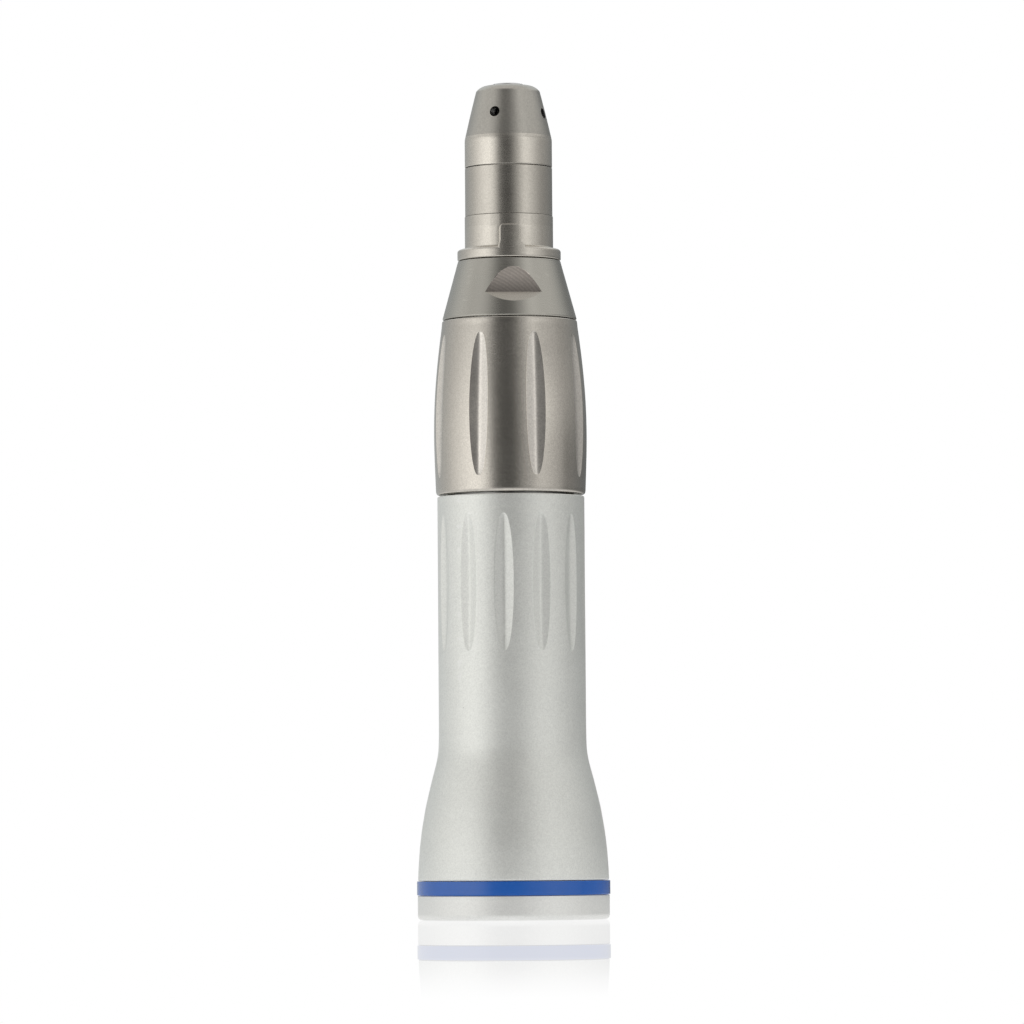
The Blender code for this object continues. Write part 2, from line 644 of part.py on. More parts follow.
# ---- collet nut, cross pin and pin collar ------------------------------------
collet_nut = turned("collet_nut", [
    (1.87, 55.20), (1.95, 55.12), (1.95, 52.90), (2.85, 52.90), (2.85, 50.80),
    (0.0, 50.80), (0.0, 52.60), (1.56, 52.90), (1.56, 55.20)], "inner_steel")
cut(collet_nut, "collet_nut_hole", [
    cylinder_along_x(CROSS_PIN_HOLE_RADIUS, (-3.4, 3.4), CROSS_PIN_Z)])

pin("cross_pin", radius=0.50, x_start=-4.45, x_end=4.45, z=CROSS_PIN_Z)

pin_collar = turned("pin_collar", [
    (4.54, 52.55), (4.60, 52.49), (4.60, 51.21), (4.54, 51.15), (3.57, 51.15),
    (3.57, 52.55)], "inner_steel")
cut(pin_collar, "pin_collar_holes", [
    cylinder_along_x(CROSS_PIN_HOLE_RADIUS, span, CROSS_PIN_Z)
    for span in both_sides(3.2, 5.2)])
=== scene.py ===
# A slim rotary collet unit, standing upright on its base ring.
# Its axis is Z, the nose tip is up and the floor is at z = 0. The camera stands
# on -Y, so -Y is the front and +X is on the right of the view.
# Piece sizes are in millimetres; Blender works in metres.
from collections import namedtuple
from contextlib import contextmanager
from math import acos, cos, degrees, hypot, pi, radians, sin, sqrt

import bpy
import bmesh
import numpy as np
from mathutils import Matrix, Vector


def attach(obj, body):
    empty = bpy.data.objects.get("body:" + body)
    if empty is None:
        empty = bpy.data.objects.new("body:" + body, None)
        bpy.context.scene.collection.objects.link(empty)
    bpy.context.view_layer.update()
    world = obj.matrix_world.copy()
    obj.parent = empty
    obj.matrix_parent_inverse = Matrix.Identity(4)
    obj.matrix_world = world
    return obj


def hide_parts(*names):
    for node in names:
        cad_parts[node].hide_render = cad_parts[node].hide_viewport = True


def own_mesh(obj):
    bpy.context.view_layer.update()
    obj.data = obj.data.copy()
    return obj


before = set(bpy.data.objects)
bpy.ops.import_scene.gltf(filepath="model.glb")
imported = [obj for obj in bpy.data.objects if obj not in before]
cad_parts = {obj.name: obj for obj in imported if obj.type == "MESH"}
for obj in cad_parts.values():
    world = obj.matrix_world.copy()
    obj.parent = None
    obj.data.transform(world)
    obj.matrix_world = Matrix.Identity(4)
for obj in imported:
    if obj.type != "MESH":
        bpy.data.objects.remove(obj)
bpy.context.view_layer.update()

MM = 0.001

# =============================================================================
# driving dimensions (mm, and degrees round the axis from -Y towards +X)
# =============================================================================
TIP_Z = 87.45                   # top of the collet

CAP_SHOULDER = (3.378, 86.48)   # (radius, z) where the nose cap's cone starts
CAP_CONE_FOOT = (4.500, 81.84)
HOLE_Z, HOLE_R, HOLE_PHASE, HOLE_COUNT = 84.20, 0.545, -20.9, 4

STEP_R, RIM_R = 4.62, 5.41      # lower sleeve of the nose base, and its flange
KEY_PHASE, KEY_HALF, KEY_TOP = 1.2, 1.10, 72.26
KEY_CORNER, KEY_EDGE = 0.40, 0.11   # upper corners in outline, rounding of the edge

CONE_TOP, CONE_FOOT = (5.40, 68.62), (6.98, 62.86)     # (radius, z)
FLAT_DIST, FLAT_RIDGE, FLAT_PHASE = 5.63, 65.13, 4.4   # 45 degree facet below the ridge

LOCK_PHASE = 20.1
BODY_R, BODY_PHASE = 7.68, 24.2

# a bearing's races are (outside, bore) radii, its cage is (bore, outside)
Bearing = namedtuple("Bearing", "name outer_race inner_race bottom outer_top inner_top "
                                "balls ball_r cage cage_half_height")
BEARINGS = (
    Bearing("front", (3.50, 3.17), (2.38, 2.03), 79.00, 81.45, 81.50,
            7, 0.36, (2.60, 2.95), 0.494),
    Bearing("middle", (3.50, 3.17), (2.38, 2.03), 65.50, 67.95, 68.00,
            7, 0.36, (2.60, 2.95), 0.494),
    Bearing("rear", (4.50, 4.00), (3.00, 2.54), 39.50, 42.50, 42.50,
            8, 0.46, (3.26, 3.74), 0.627),
)

CAM_TWIST, CAM_LIFT = 35.0, 1.2             # travel of the helical slots
CAM_PIN_Z, CAM_PIN_R, CAM_PIN_HOLE_R = 48.4, 0.70, 0.75
CAM_SLOT_HALF, CAM_MEAN_R = 0.82, 6.2
CROSS_PIN_Z, CROSS_PIN_R, CROSS_PIN_HOLE_R = 51.85, 0.50, 0.56
DOG_PIN_Z, DOG_PIN_R, DOG_PIN_HOLE_R = 31.0, 0.40, 0.46

SPRING_TOP, SPRING_LENGTH, SPRING_PRESSED = 60.3, 7.3, 6.3
SPRING_R, SPRING_WIRE_R = 2.38, 0.30


# =============================================================================
# shader node helper
# =============================================================================
class Tree:
    """An emptied node tree with short calls for the nodes used here."""

    def __init__(self, owner):
        owner.use_nodes = True
        self.node_tree = owner.node_tree
        self.node_tree.nodes.clear()

    def node(self, kind, **props):
        made = self.node_tree.nodes.new(kind)
        for key, value in props.items():
            setattr(made, key, value)
        return made

    def feed(self, socket, value):
        """Sets a constant on the socket, or links an output to it."""
        if isinstance(value, (int, float, tuple, list)):
            socket.default_value = value
        else:
            self.node_tree.links.new(value, socket)

    def output(self, kind, shader):
        self.feed(self.node(kind).inputs[0], shader)

    def math(self, operation, *values):
        made = self.node("ShaderNodeMath", operation=operation)
        for socket, value in zip(made.inputs, values):
            self.feed(socket, value)
        return made.outputs[0]

    def ramp(self, factor, stops):
        """Grey ramp; stops are (position, level)."""
        made = self.node("ShaderNodeValToRGB")
        elements = made.color_ramp.elements
        while len(elements) > 1:
            elements.remove(elements[-1])
        elements[0].position = stops[0][0]
        elements[0].color = grey(stops[0][1])
        for position, level in stops[1:]:
            elements.new(position).color = grey(level)
        self.feed(made.inputs[0], factor)
        return made.outputs[0]

    def mix(self, factor, first, second, blend="MIX"):
        made = self.node("ShaderNodeMix", data_type="RGBA", blend_type=blend)
        self.feed(made.inputs[0], factor)
        self.feed(made.inputs[6], first)
        self.feed(made.inputs[7], second)
        return made.outputs[2]

    def multiply(self, first, second):
        return self.mix(1.0, first, second, "MULTIPLY")

    def noise(self, vector, scale, detail, rough=0.5):
        made = self.node("ShaderNodeTexNoise", noise_dimensions="3D")
        made.inputs["Scale"].default_value = scale
        made.inputs["Detail"].default_value = detail
        made.inputs["Roughness"].default_value = rough
        self.feed(made.inputs["Vector"], vector)
        return made.outputs["Fac"]

    def remap(self, value, span, out=(0.0, 1.0)):
        """Maps the range span to the range out, clamped."""
        made = self.node("ShaderNodeMapRange")
        made.clamp = True
        for socket, item in zip(made.inputs, (value, *span, *out)):
            self.feed(socket, item)
        return made.outputs[0]

    def two_tone(self, noise, dark, light, span=(0.35, 0.65)):
        return self.mix(self.remap(noise, span=span), dark, light)

    def mix_shader(self, factor, first, second):
        made = self.node("ShaderNodeMixShader")
        for socket, value in zip(made.inputs, (factor, first, second)):
            self.feed(socket, value)
        return made.outputs[0]


def grey(level):
    return (level, level, level, 1)


def scaled(colour, factor, lift=0.0):
    """RGBA of a colour made lighter or darker."""
    return tuple(min(1.0, v * factor + lift) for v in colour) + (1.0,)


# =============================================================================
# materials
# =============================================================================
def new_material(name, colour):
    material = bpy.data.materials.new(name)
    tree = Tree(material)
    bsdf = tree.node("ShaderNodeBsdfPrincipled")
    tree.output("ShaderNodeOutputMaterial", bsdf.outputs[0])
    material.diffuse_color = tuple(colour) + (1.0,)
    return material, tree, bsdf


def add_bump(tree, bsdf, height, strength, distance):
    bump = tree.node("ShaderNodeBump")
    bump.inputs["Strength"].default_value = strength
    bump.inputs["Distance"].default_value = distance
    tree.feed(bump.inputs["Height"], height)
    tree.feed(bsdf.inputs["Normal"], bump.outputs[0])


def lathe_vector(tree, coords, angular=0.0012):
    """(radius, z, a little of the angle): noise in it runs round the piece."""
    split = tree.node("ShaderNodeSeparateXYZ")
    tree.feed(split.inputs[0], coords)
    x, y, z = split.outputs
    radius = tree.math("SQRT", tree.math("ADD", tree.math("MULTIPLY", x, x),
                                         tree.math("MULTIPLY", y, y)))
    angle = tree.math("ARCTAN2", y, x)
    joined = tree.node("ShaderNodeCombineXYZ")
    tree.feed(joined.inputs[0], radius)
    tree.feed(joined.inputs[1], z)
    # the sine keeps the seam closed
    tree.feed(joined.inputs[2],
              tree.math("MULTIPLY", tree.math("SINE", angle), angular))
    return joined.outputs[0], z


def add_blast(tree, base, colour, grain, coords, blast, scale):
    """Fine light and dark grains over the base colour."""
    coarse = tree.noise(coords, scale=scale * 0.45, detail=2.0, rough=0.5)
    low, high = scaled(colour, 1 - 0.30 * blast), scaled(colour, 1 + 0.30 * blast)
    grains = tree.two_tone(grain, low, high)
    grains = tree.mix(0.25, grains, tree.two_tone(coarse, low, high))
    return tree.mix(0.75, base, grains)


def add_specks(tree, base, colour, coords, amount):
    """Sparse dark dots."""
    cells = tree.node("ShaderNodeTexVoronoi")
    cells.inputs["Scale"].default_value = 420.0
    cells.inputs["Randomness"].default_value = 1.0
    tree.feed(cells.inputs["Vector"], coords)
    spot = tree.remap(cells.outputs["Distance"], span=(0.03, 0.06), out=(1.0, 0.0))
    pick = tree.remap(tree.noise(coords, scale=330.0, detail=0.0), span=(0.60, 0.62))
    factor = tree.math("MULTIPLY", tree.math("MULTIPLY", spot, pick), amount)
    return tree.mix(factor, base, scaled(colour, 0.45))


def add_milling_and_painted_shade(tree, base, colour, coords, z, offset):
    """Arcs of the milling cutter and a painted shade down towards the ridge; returns the
    colour and the arcs.
    """
    wave = tree.node("ShaderNodeTexWave", wave_type="RINGS", rings_direction="SPHERICAL")
    wave.inputs["Scale"].default_value = 950.0
    wave.inputs["Distortion"].default_value = 1.2
    wave.inputs["Detail"].default_value = 2.0
    moved = tree.node("ShaderNodeVectorMath", operation="ADD")
    tree.feed(moved.inputs[0], coords)
    tree.feed(moved.inputs[1], offset)
    tree.feed(wave.inputs["Vector"], moved.outputs[0])
    arcs = wave.outputs["Fac"]
    base = tree.mix(tree.remap(arcs, span=(0.2, 0.8), out=(0.0, 0.50)), base,
                    scaled(colour, 0.72))
    # painted shade: the flat's colour darkens down to the ridge with the facet
    painted_shade = tree.remap(z, span=(FLAT_RIDGE * MM, 66.9 * MM), out=(0.50, 1.10))
    joined = tree.node("ShaderNodeCombineColor")
    for i in range(3):
        tree.feed(joined.inputs[i], painted_shade)
    return tree.multiply(base, joined.outputs[0]), arcs


def steel(name, colour, rough, turned, blast, tint, aniso=0.0, metallic=1.0, specks=0.0,
          blast_scale=7000.0, bump_depth=0.000006, tones=(), milling_offset=None):
    """Metal with turned grooves, blasted grain, blotchy tone and a painted highlight on
    convex edges.

    turned, blast, tint and specks are strengths, bump_depth is in metres.
    tones are (z from, z to, brightness) in mm; milling_offset is in metres.
    """
    material, tree, bsdf = new_material(name, colour)
    coords = tree.node("ShaderNodeTexCoord").outputs["Object"]
    around, z = lathe_vector(tree, coords)
    blotch = tree.noise(coords, scale=260.0, detail=3.0, rough=0.55)
    lines = tree.noise(around, scale=5200.0, detail=3.0, rough=0.6)
    fine = tree.noise(around, scale=15000.0, detail=2.0, rough=0.6)
    grain = tree.noise(coords, scale=blast_scale, detail=2.0, rough=0.75)

    dark, light = scaled(colour, 1 - tint), scaled(colour, 1 + tint)
    base = tree.two_tone(blotch, dark, light, span=(0.3, 0.7))
    if turned > 0:
        base = tree.mix(0.5 * turned, base, tree.two_tone(lines, dark, light))
    if blast > 0:
        base = add_blast(tree, base, colour, grain, coords, blast, blast_scale)
    if specks > 0:
        base = add_specks(tree, base, colour, coords, specks)

    # painted highlight: convex edges made a little brighter, and a little smoother
    pointiness = tree.node("ShaderNodeNewGeometry").outputs["Pointiness"]
    edge = tree.math("MULTIPLY", tree.remap(pointiness, span=(0.53, 0.60)),
                     tree.remap(blotch, span=(0.35, 0.6), out=(0.4, 1.0)))
    base = tree.mix(tree.math("MULTIPLY", edge, 0.3), base,
                    scaled(colour, 1.22, lift=0.03))
    for low, high, brightness in tones:
        inside = tree.math("MULTIPLY", tree.math("GREATER_THAN", z, low * MM),
                           tree.math("LESS_THAN", z, high * MM))
        base = tree.mix(inside, base, tree.multiply(base, grey(brightness)))

    height = tree.math("ADD", tree.math("MULTIPLY", lines, 0.6 * turned),
                       tree.math("MULTIPLY", fine, 0.4 * turned))
    height = tree.math("ADD", height, tree.math("MULTIPLY", grain, blast))
    # the milled flat gets cutter arcs and a painted shade towards the ridge
    if milling_offset:
        base, arcs = add_milling_and_painted_shade(tree, base, colour, coords, z, milling_offset)
        height = tree.math("ADD", height, tree.math("MULTIPLY", arcs, 0.5))
    tree.feed(bsdf.inputs["Base Color"], base)
    add_bump(tree, bsdf, height, strength=0.5, distance=bump_depth)

    uneven = tree.math(
        "ADD", tree.remap(blotch, span=(0.25, 0.75), out=(rough - 0.03, rough + 0.03)),
        tree.remap(fine, span=(0.3, 0.7), out=(-0.02, 0.02)))
    tree.feed(bsdf.inputs["Roughness"],
              tree.math("SUBTRACT", uneven, tree.math("MULTIPLY", edge, 0.06)))
    bsdf.inputs["Metallic"].default_value = metallic
    if aniso:
        bsdf.inputs["Anisotropic"].default_value = aniso
        tangent = tree.node("ShaderNodeTangent", direction_type="RADIAL", axis="Z")
        tree.feed(bsdf.inputs["Tangent"], tangent.outputs[0])
    return material


def plastic(name, colour, rough, tint, grain, coat=0.0, scale=2600.0):
    """Non-metal with a fine grain; grain is the bump's strength."""
    material, tree, bsdf = new_material(name, colour)
    coords = tree.node("ShaderNodeTexCoord").outputs["Object"]
    blotch = tree.noise(coords, scale=320.0, detail=3.0, rough=0.55)
    fine = tree.noise(coords, scale=scale, detail=3.0, rough=0.6)
    dark, light = scaled(colour, 1 - tint), scaled(colour, 1 + tint)
    base = tree.two_tone(blotch, dark, light, span=(0.3, 0.7))
    base = tree.mix(0.35, base, tree.two_tone(fine, dark, light))
    # painted highlight: convex edges made a little lighter
    pointiness = tree.node("ShaderNodeNewGeometry").outputs["Pointiness"]
    edge = tree.remap(pointiness, span=(0.53, 0.60), out=(0.0, 0.35))
    base = tree.mix(edge, base, scaled(colour, 1.3, lift=0.02))
    tree.feed(bsdf.inputs["Base Color"], base)
    tree.feed(bsdf.inputs["Roughness"],
              tree.remap(fine, span=(0.25, 0.75), out=(rough * 0.85, rough * 1.15)))
    bsdf.inputs["Coat Weight"].default_value = coat
    bsdf.inputs["Coat Roughness"].default_value = 0.08
    add_bump(tree, bsdf, fine, strength=grain, distance=0.00001)
    return material


SLEEVE_TONES = ((78.58, 82.0, 1.10), (73.47, 78.5, 0.92), (72.3, 73.47, 0.98),
                (70.0, 72.3, 1.04), (68.0, 70.0, 1.02))

MATERIALS = {
    "matt_steel": steel("matt_steel_blasted", (0.520, 0.502, 0.462), rough=0.33,
                        turned=0.2, blast=0.50, tint=0.04, bump_depth=0.000002),
    "satin_steel": steel("satin_steel_turned", (0.632, 0.600, 0.546), rough=0.26,
                         turned=0.45, blast=0.42, aniso=0.2, tint=0.04,
                         bump_depth=0.000002, blast_scale=6200.0, tones=SLEEVE_TONES),
    "cone_steel": steel("cone_steel_turned", (0.505, 0.490, 0.448), rough=0.27,
                        turned=0.9, blast=0.10, aniso=0.2, tint=0.07,
                        bump_depth=0.000002),
    "grip_steel": steel("grip_steel_satin", (0.625, 0.592, 0.540), rough=0.24,
                        turned=0.25, blast=0.42, tint=0.03, bump_depth=0.000002,
                        blast_scale=6200.0),
    "body_coat": steel("body_coat_blasted", (0.880, 0.893, 0.860), rough=0.48,
                       turned=0.0, blast=0.36, metallic=0.78, tint=0.02, specks=0.8,
                       blast_scale=6500.0),
    "base_coat": steel("base_coat_satin", (0.880, 0.885, 0.860), rough=0.42,
                       turned=0.0, blast=0.25, metallic=0.70, tint=0.015,
                       blast_scale=6500.0, bump_depth=0.000005),
    "blue_ring": plastic("blue_ring_gloss", (0.008, 0.120, 0.520), rough=0.20,
                         tint=0.05, coat=0.5, grain=0.05),
    "inner_steel": steel("inner_steel_turned", (0.540, 0.540, 0.535), rough=0.30,
                         turned=0.9, blast=0.0, aniso=0.4, tint=0.06),
    "bearing_steel": steel("bearing_steel_ground", (0.660, 0.660, 0.665), rough=0.16,
                           turned=0.35, blast=0.0, aniso=0.3, tint=0.03,
                           bump_depth=0.000003),
    "cage_polymer": plastic("cage_phenolic", (0.360, 0.190, 0.075), rough=0.48,
                            tint=0.22, grain=0.5, scale=5200.0),
    "bush_bronze": steel("bush_bronze_sintered", (0.600, 0.380, 0.170), rough=0.38,
                         turned=0.6, blast=0.4, tint=0.10),
    "seal_rubber": plastic("seal_rubber_black", (0.018, 0.018, 0.018), rough=0.55,
                           tint=0.25, grain=0.4, scale=7000.0),
    "spring_steel": steel("spring_steel_drawn", (0.420, 0.410, 0.390), rough=0.30,
                          turned=0.4, blast=0.1, tint=0.10),
    # local finishes on the same pieces; the milled flat also has a painted shade towards
    # its ridge
    "cone_milled_painted_shade": steel("cone_steel_milled_painted_shade", (0.840, 0.765, 0.705), rough=0.38,
                         turned=0.0, blast=0.5, tint=0.05, bump_depth=0.000002,
                         milling_offset=(0.004, 0.006, -0.0600)),
    "grip_flute": steel("grip_steel_flute", (0.800, 0.765, 0.715), rough=0.33,
                        turned=0.4, blast=0.6, tint=0.05, bump_depth=0.000003,
                        blast_scale=6000.0),
    "hole_wall": steel("drilled_wall", (0.250, 0.230, 0.200), rough=0.42,
                       turned=0.5, blast=0.2, tint=0.10),
}


# =============================================================================
# outlines
# =============================================================================
def rounded(points, steps):
    """Closed (radius, z[, corner radius]) loop -> polyline with rounded corners
    and a support point on each side of every corner."""
    result = []
    for i, point in enumerate(points):
        corner = np.array(point[:2], float)
        size = point[2] if len(point) > 2 else 0.0
        if size <= 0:
            result.append(tuple(corner))
            continue
        back = np.array(points[i - 1][:2], float) - corner
        ahead = np.array(points[(i + 1) % len(points)][:2], float) - corner
        back_length, ahead_length = np.linalg.norm(back), np.linalg.norm(ahead)
        size = min(size, 0.42 * back_length, 0.42 * ahead_length)
        back, ahead = back / back_length, ahead / ahead_length
        start, end = corner + back * size, corner + ahead * size
        support = 0.16 * size
        result.append(tuple(start + back * support))
        for k in range(steps + 1):
            q = k / steps
            result.append(tuple((1 - q) ** 2 * start + 2 * q * (1 - q) * corner +
                                q * q * end))
        result.append(tuple(end + ahead * support))
    return result


def smooth_curve(points, step):
    """Catmull-Rom polyline through the points, about one vertex per step."""
    knots = [np.array(point, float) for point in points]
    knots = [2 * knots[0] - knots[1]] + knots + [2 * knots[-1] - knots[-2]]
    result = []
    for before, start, end, after in zip(knots, knots[1:], knots[2:], knots[3:]):
        count = max(1, int(round(np.linalg.norm(end - start) / step)))
        for k in range(count):
            u = k / count
            result.append(tuple(0.5 * (
                (2 * start) + (-before + end) * u +
                (2 * before - 5 * start + 4 * end - after) * u * u +
                (-before + 3 * start - 3 * end + after) * u ** 3)))
    result.append(tuple(knots[-2]))
    return result


# =============================================================================
# meshes
# =============================================================================
@contextmanager
def editing(mesh):
    """Opens the mesh as a bmesh and writes it back."""
    edit = bmesh.new()
    edit.from_mesh(mesh)
    yield edit
    edit.to_mesh(mesh)
    edit.free()


def recalc_normals(mesh):
    with editing(mesh) as edit:
        bmesh.ops.recalc_face_normals(edit, faces=edit.faces)


def shade(mesh, sharp):
    """Smooth shading, broken at edges over `sharp` degrees (0 for none)."""
    mesh.polygons.foreach_set("use_smooth", [True] * len(mesh.polygons))
    if sharp:
        mesh.set_sharp_from_angle(angle=radians(sharp))
    mesh.update()


def make_mesh(name, verts, faces, sharp, merge=False):
    mesh = bpy.data.meshes.new(name)
    mesh.from_pydata(verts, [], faces)
    mesh.update()
    if merge:
        with editing(mesh) as edit:
            bmesh.ops.remove_doubles(edit, verts=edit.verts, dist=1e-7)
    shade(mesh, sharp)
    return mesh


def ring_grid(name, radii, heights, angles, sharp=38.0):
    """Closed ring of rows; radii and angles are (rows, columns), heights (rows,).
    Angle 0 is at the front (-Y), a quarter turn is at +X."""
    rows, columns = radii.shape
    z = np.repeat(heights[:, None], columns, 1)
    verts = np.stack([radii * np.sin(angles), -radii * np.cos(angles), z], -1)
    verts = verts.reshape(-1, 3) * MM
    faces = []
    for i in range(rows):
        k = (i + 1) % rows
        for j in range(columns):
            n = (j + 1) % columns
            faces.append((i * columns + j, k * columns + j,
                          k * columns + n, i * columns + n))
    touches_axis = bool((radii < 1e-6).any())
    return make_mesh(name, verts.tolist(), faces, sharp, merge=touches_axis)


def lathe_mesh(name, profile, columns, sharp=38.0):
    profile = np.array(profile, float)
    angles = np.linspace(0, 2 * pi, columns, endpoint=False)
    return ring_grid(name, np.repeat(profile[:, :1], columns, 1), profile[:, 1],
                     np.repeat(angles[None, :], len(profile), 0), sharp)


def sector_grid(name, profile, count, phase, feature, plain_columns, feature_columns,
                sharp=38.0):
    """Lathe with `count` carved features round it, columns laid along their
    outlines. feature.half_angle(radius, z) is the feature's half angle on a row
    (0 where it is absent), feature.carve(angle, z) the radius of its floor."""
    profile = np.array(profile, float)
    rows = len(profile)
    sector = pi / count
    halves = np.array([feature.half_angle(radius, z) for radius, z in profile])
    carved_rows = np.where(halves > 0)[0]
    row_angles, row_radii = [], []
    for i, (radius, z) in enumerate(profile):
        width = halves[i]
        if width <= 0:
            # where the feature is absent its columns pinch, then open out again
            away = min(min(abs(i - j), rows - abs(i - j)) for j in carved_rows)
            width = min(sector * 0.5, radians(0.35 + 0.5 * away))
        width = max(width, radians(0.25))
        start = width + min(0.05 * width + radians(0.05), 0.2 * (sector - width))
        plain = start + (sector - start) * (np.arange(plain_columns) / plain_columns)
        side = np.concatenate([np.array(feature_columns) * width, plain])
        angles = np.concatenate([-side[:0:-1], side, [sector]])
        radii = np.full(len(angles), radius)
        if halves[i] > 0:
            inside = np.abs(angles) <= halves[i] * (1 + 1e-9)
            radii[inside] = np.minimum(radius, feature.carve(np.abs(angles[inside]), z))
        row_angles.append(angles)
        row_radii.append(radii)
    row_angles = np.array(row_angles)
    angles = np.concatenate([row_angles + radians(phase) + 2 * pi * k / count
                             for k in range(count)], 1)
    radii = np.concatenate([np.array(row_radii)] * count, 1)
    return ring_grid(name, radii, profile[:, 1], angles, sharp)


# Closed bodies are lists of loops, each loop a list of points in mm.
def loft_mesh(name, bodies):
    verts, faces = [], []
    for loops in bodies:
        base = len(verts)
        size = len(loops[0])
        for loop in loops:
            verts.extend([tuple(c * MM for c in point) for point in loop])
        for k in range(len(loops) - 1):
            row = base + k * size
            for i in range(size):
                j = (i + 1) % size
                faces.append((row + i, row + j, row + size + j, row + size + i))
        faces.append(tuple(base + i for i in reversed(range(size))))
        faces.append(tuple(base + (len(loops) - 1) * size + i for i in range(size)))
    mesh = bpy.data.meshes.new(name)
    mesh.from_pydata(verts, [], faces)
    recalc_normals(mesh)
    return mesh


def cut(mesh, bodies):
    """Takes closed cutter bodies out of a mesh and returns the clean result."""
    work = bpy.data.objects.new("work", mesh)
    tool = bpy.data.objects.new("tool", loft_mesh("tool", bodies))
    for obj in (work, tool):
        bpy.context.scene.collection.objects.link(obj)
    boolean = work.modifiers.new("cut", "BOOLEAN")
    boolean.operation = "DIFFERENCE"
    boolean.solver = "EXACT"
    boolean.object = tool
    depsgraph = bpy.context.evaluated_depsgraph_get()
    result = bpy.data.meshes.new_from_object(work.evaluated_get(depsgraph))
    result.name = mesh.name
    tool_mesh = tool.data
    bpy.data.objects.remove(work)
    bpy.data.objects.remove(tool)
    bpy.data.meshes.remove(tool_mesh)
    with editing(result) as edit:
        bmesh.ops.remove_doubles(edit, verts=edit.verts, dist=2e-7)
        bmesh.ops.dissolve_degenerate(edit, edges=edit.edges, dist=1e-7)
    shade(result, 32.0)
    return result


def spin(point, deg):
    """Turns a point about Z."""
    angle = radians(deg)
    x, y, z = point
    return (x * cos(angle) - y * sin(angle), x * sin(angle) + y * cos(angle), z)


def rod_loops(radius, start, end, sides=32, chamfer=0.0):
    start, end = Vector(start), Vector(end)
    axis = (end - start).normalized()
    across = axis.orthogonal().normalized()
    other = axis.cross(across)
    stations = [(radius, start), (radius, end)]
    if chamfer:
        stations = [(radius - chamfer, start),
                    (radius - 0.3 * chamfer, start + axis * chamfer * 0.3),
                    (radius, start + axis * chamfer),
                    (radius, start + axis * chamfer * 1.6),
                    (radius, end - axis * chamfer * 1.6),
                    (radius, end - axis * chamfer),
                    (radius - 0.3 * chamfer, end - axis * chamfer * 0.3),
                    (radius - chamfer, end)]
    return [[tuple(centre + across * (size * cos(2 * pi * i / sides)) +
                   other * (size * sin(2 * pi * i / sides)))
             for i in range(sides)] for size, centre in stations]


def stadium_loops(half_width, z0, z1, x0, x1, arc_steps=12):
    """Upright slot with round ends, cut along X."""
    outline = []
    for centre, first in ((z1, 0.0), (z0, pi)):
        for i in range(arc_steps + 1):
            angle = first + pi * i / arc_steps
            outline.append((half_width * cos(angle), centre + half_width * sin(angle)))
    return [[(x, y, z) for y, z in outline] for x in (x0, x1)]


def box_loops(x0, x1, y0, y1, z0, z1, deg=0.0):
    return [[spin((x, y, z), deg) for x, y in ((x0, y0), (x1, y0), (x1, y1), (x0, y1))]
            for z in (z0, z1)]


def side_holes(radius, near, far, z):
    """A round hole through the wall on the right and on the left."""
    return [rod_loops(radius, (near, 0, z), (far, 0, z)),
            rod_loops(radius, (-far, 0, z), (-near, 0, z))]


def side_slots(half_width, z0, z1, near, far):
    """A round-ended slot through the wall on the right and on the left."""
    return [stadium_loops(half_width, z0, z1, near, far),
            stadium_loops(half_width, z0, z1, -far, -near)]


def end_notches(half_width, near, far, z0, z1):
    """A square notch at the back (+Y) and at the front (-Y)."""
    return [box_loops(-half_width, half_width, near, far, z0, z1),
            box_loops(-half_width, half_width, -far, -near, z0, z1)]


# =============================================================================
# pieces
# =============================================================================
def piece(name, mesh, body, slot, replaces=(), extra=()):
    obj = bpy.data.objects.new(name, mesh)
    bpy.context.scene.collection.objects.link(obj)
    for key in (slot, *extra):
        mesh.materials.append(MATERIALS[key])
    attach(obj, body)
    if replaces:
        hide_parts(*replaces)
    return obj


def turned(cad_name, body, slot, profile, columns=128, corner_steps=3, cutters=None):
    """A lathe piece that stands for the CAD node of the same name. Its profile is
    (radius, z[, corner radius]); corners off the axis are 0.06 unless given."""
    points = [p if len(p) > 2 else (p[0], p[1], 0.06 if p[0] > 1e-6 else 0.0)
              for p in profile]
    mesh = lathe_mesh(cad_name + "_fine", rounded(points, corner_steps), columns)
    if cutters:
        mesh = cut(mesh, cutters)
    piece(cad_name + "_fine", mesh, body, slot, (cad_name,))


def pin(cad_name, body, radius, start, end):
    mesh = loft_mesh(cad_name + "_fine",
                     [rod_loops(radius, start, end, sides=48, chamfer=0.10)])
    shade(mesh, 50)
    piece(cad_name + "_fine", mesh, body, "bearing_steel", (cad_name,))


def polar(polygon):
    """Radius and z of a face's centre, mm."""
    centre = polygon.center
    return hypot(centre.x, centre.y) / MM, centre.z / MM


# ---- nose cap: shoulder curve, cone, band, four drilled holes -------------------
# (radius, z)
CAP_CURVE = [(2.30, 87.225), (2.66, 87.14), (3.00, 86.96), (3.25, 86.74),
             (3.34, 86.62), CAP_SHOULDER]
CAP_BAND = [(4.53, 81.68), (4.555, 81.56), (4.57, 81.44), (4.57, 81.20),
            (4.57, 80.4), (4.57, 79.6), (4.57, 78.80), (4.57, 78.70),
            (4.565, 78.665), (4.55, 78.645), (4.52, 78.64), (4.44, 78.64)]
# (radius, z, corner radius)
CAP_BORE = [(4.08, 78.64, 0.04), (4.02, 78.80, 0.04), (4.02, 81.05, 0.06),
            (3.56, 81.05, 0.05), (3.56, 81.60, 0.05), (2.60, 81.60, 0.08),
            (2.60, 85.50, 0.15), (1.78, 85.50, 0.06), (1.78, 87.12, 0.05),
            (1.90, 87.24, 0.05), (2.15, 87.238, 0.0)]
CAP_CONE_STEPS, CAP_CONE_BULGE = 16, 0.02


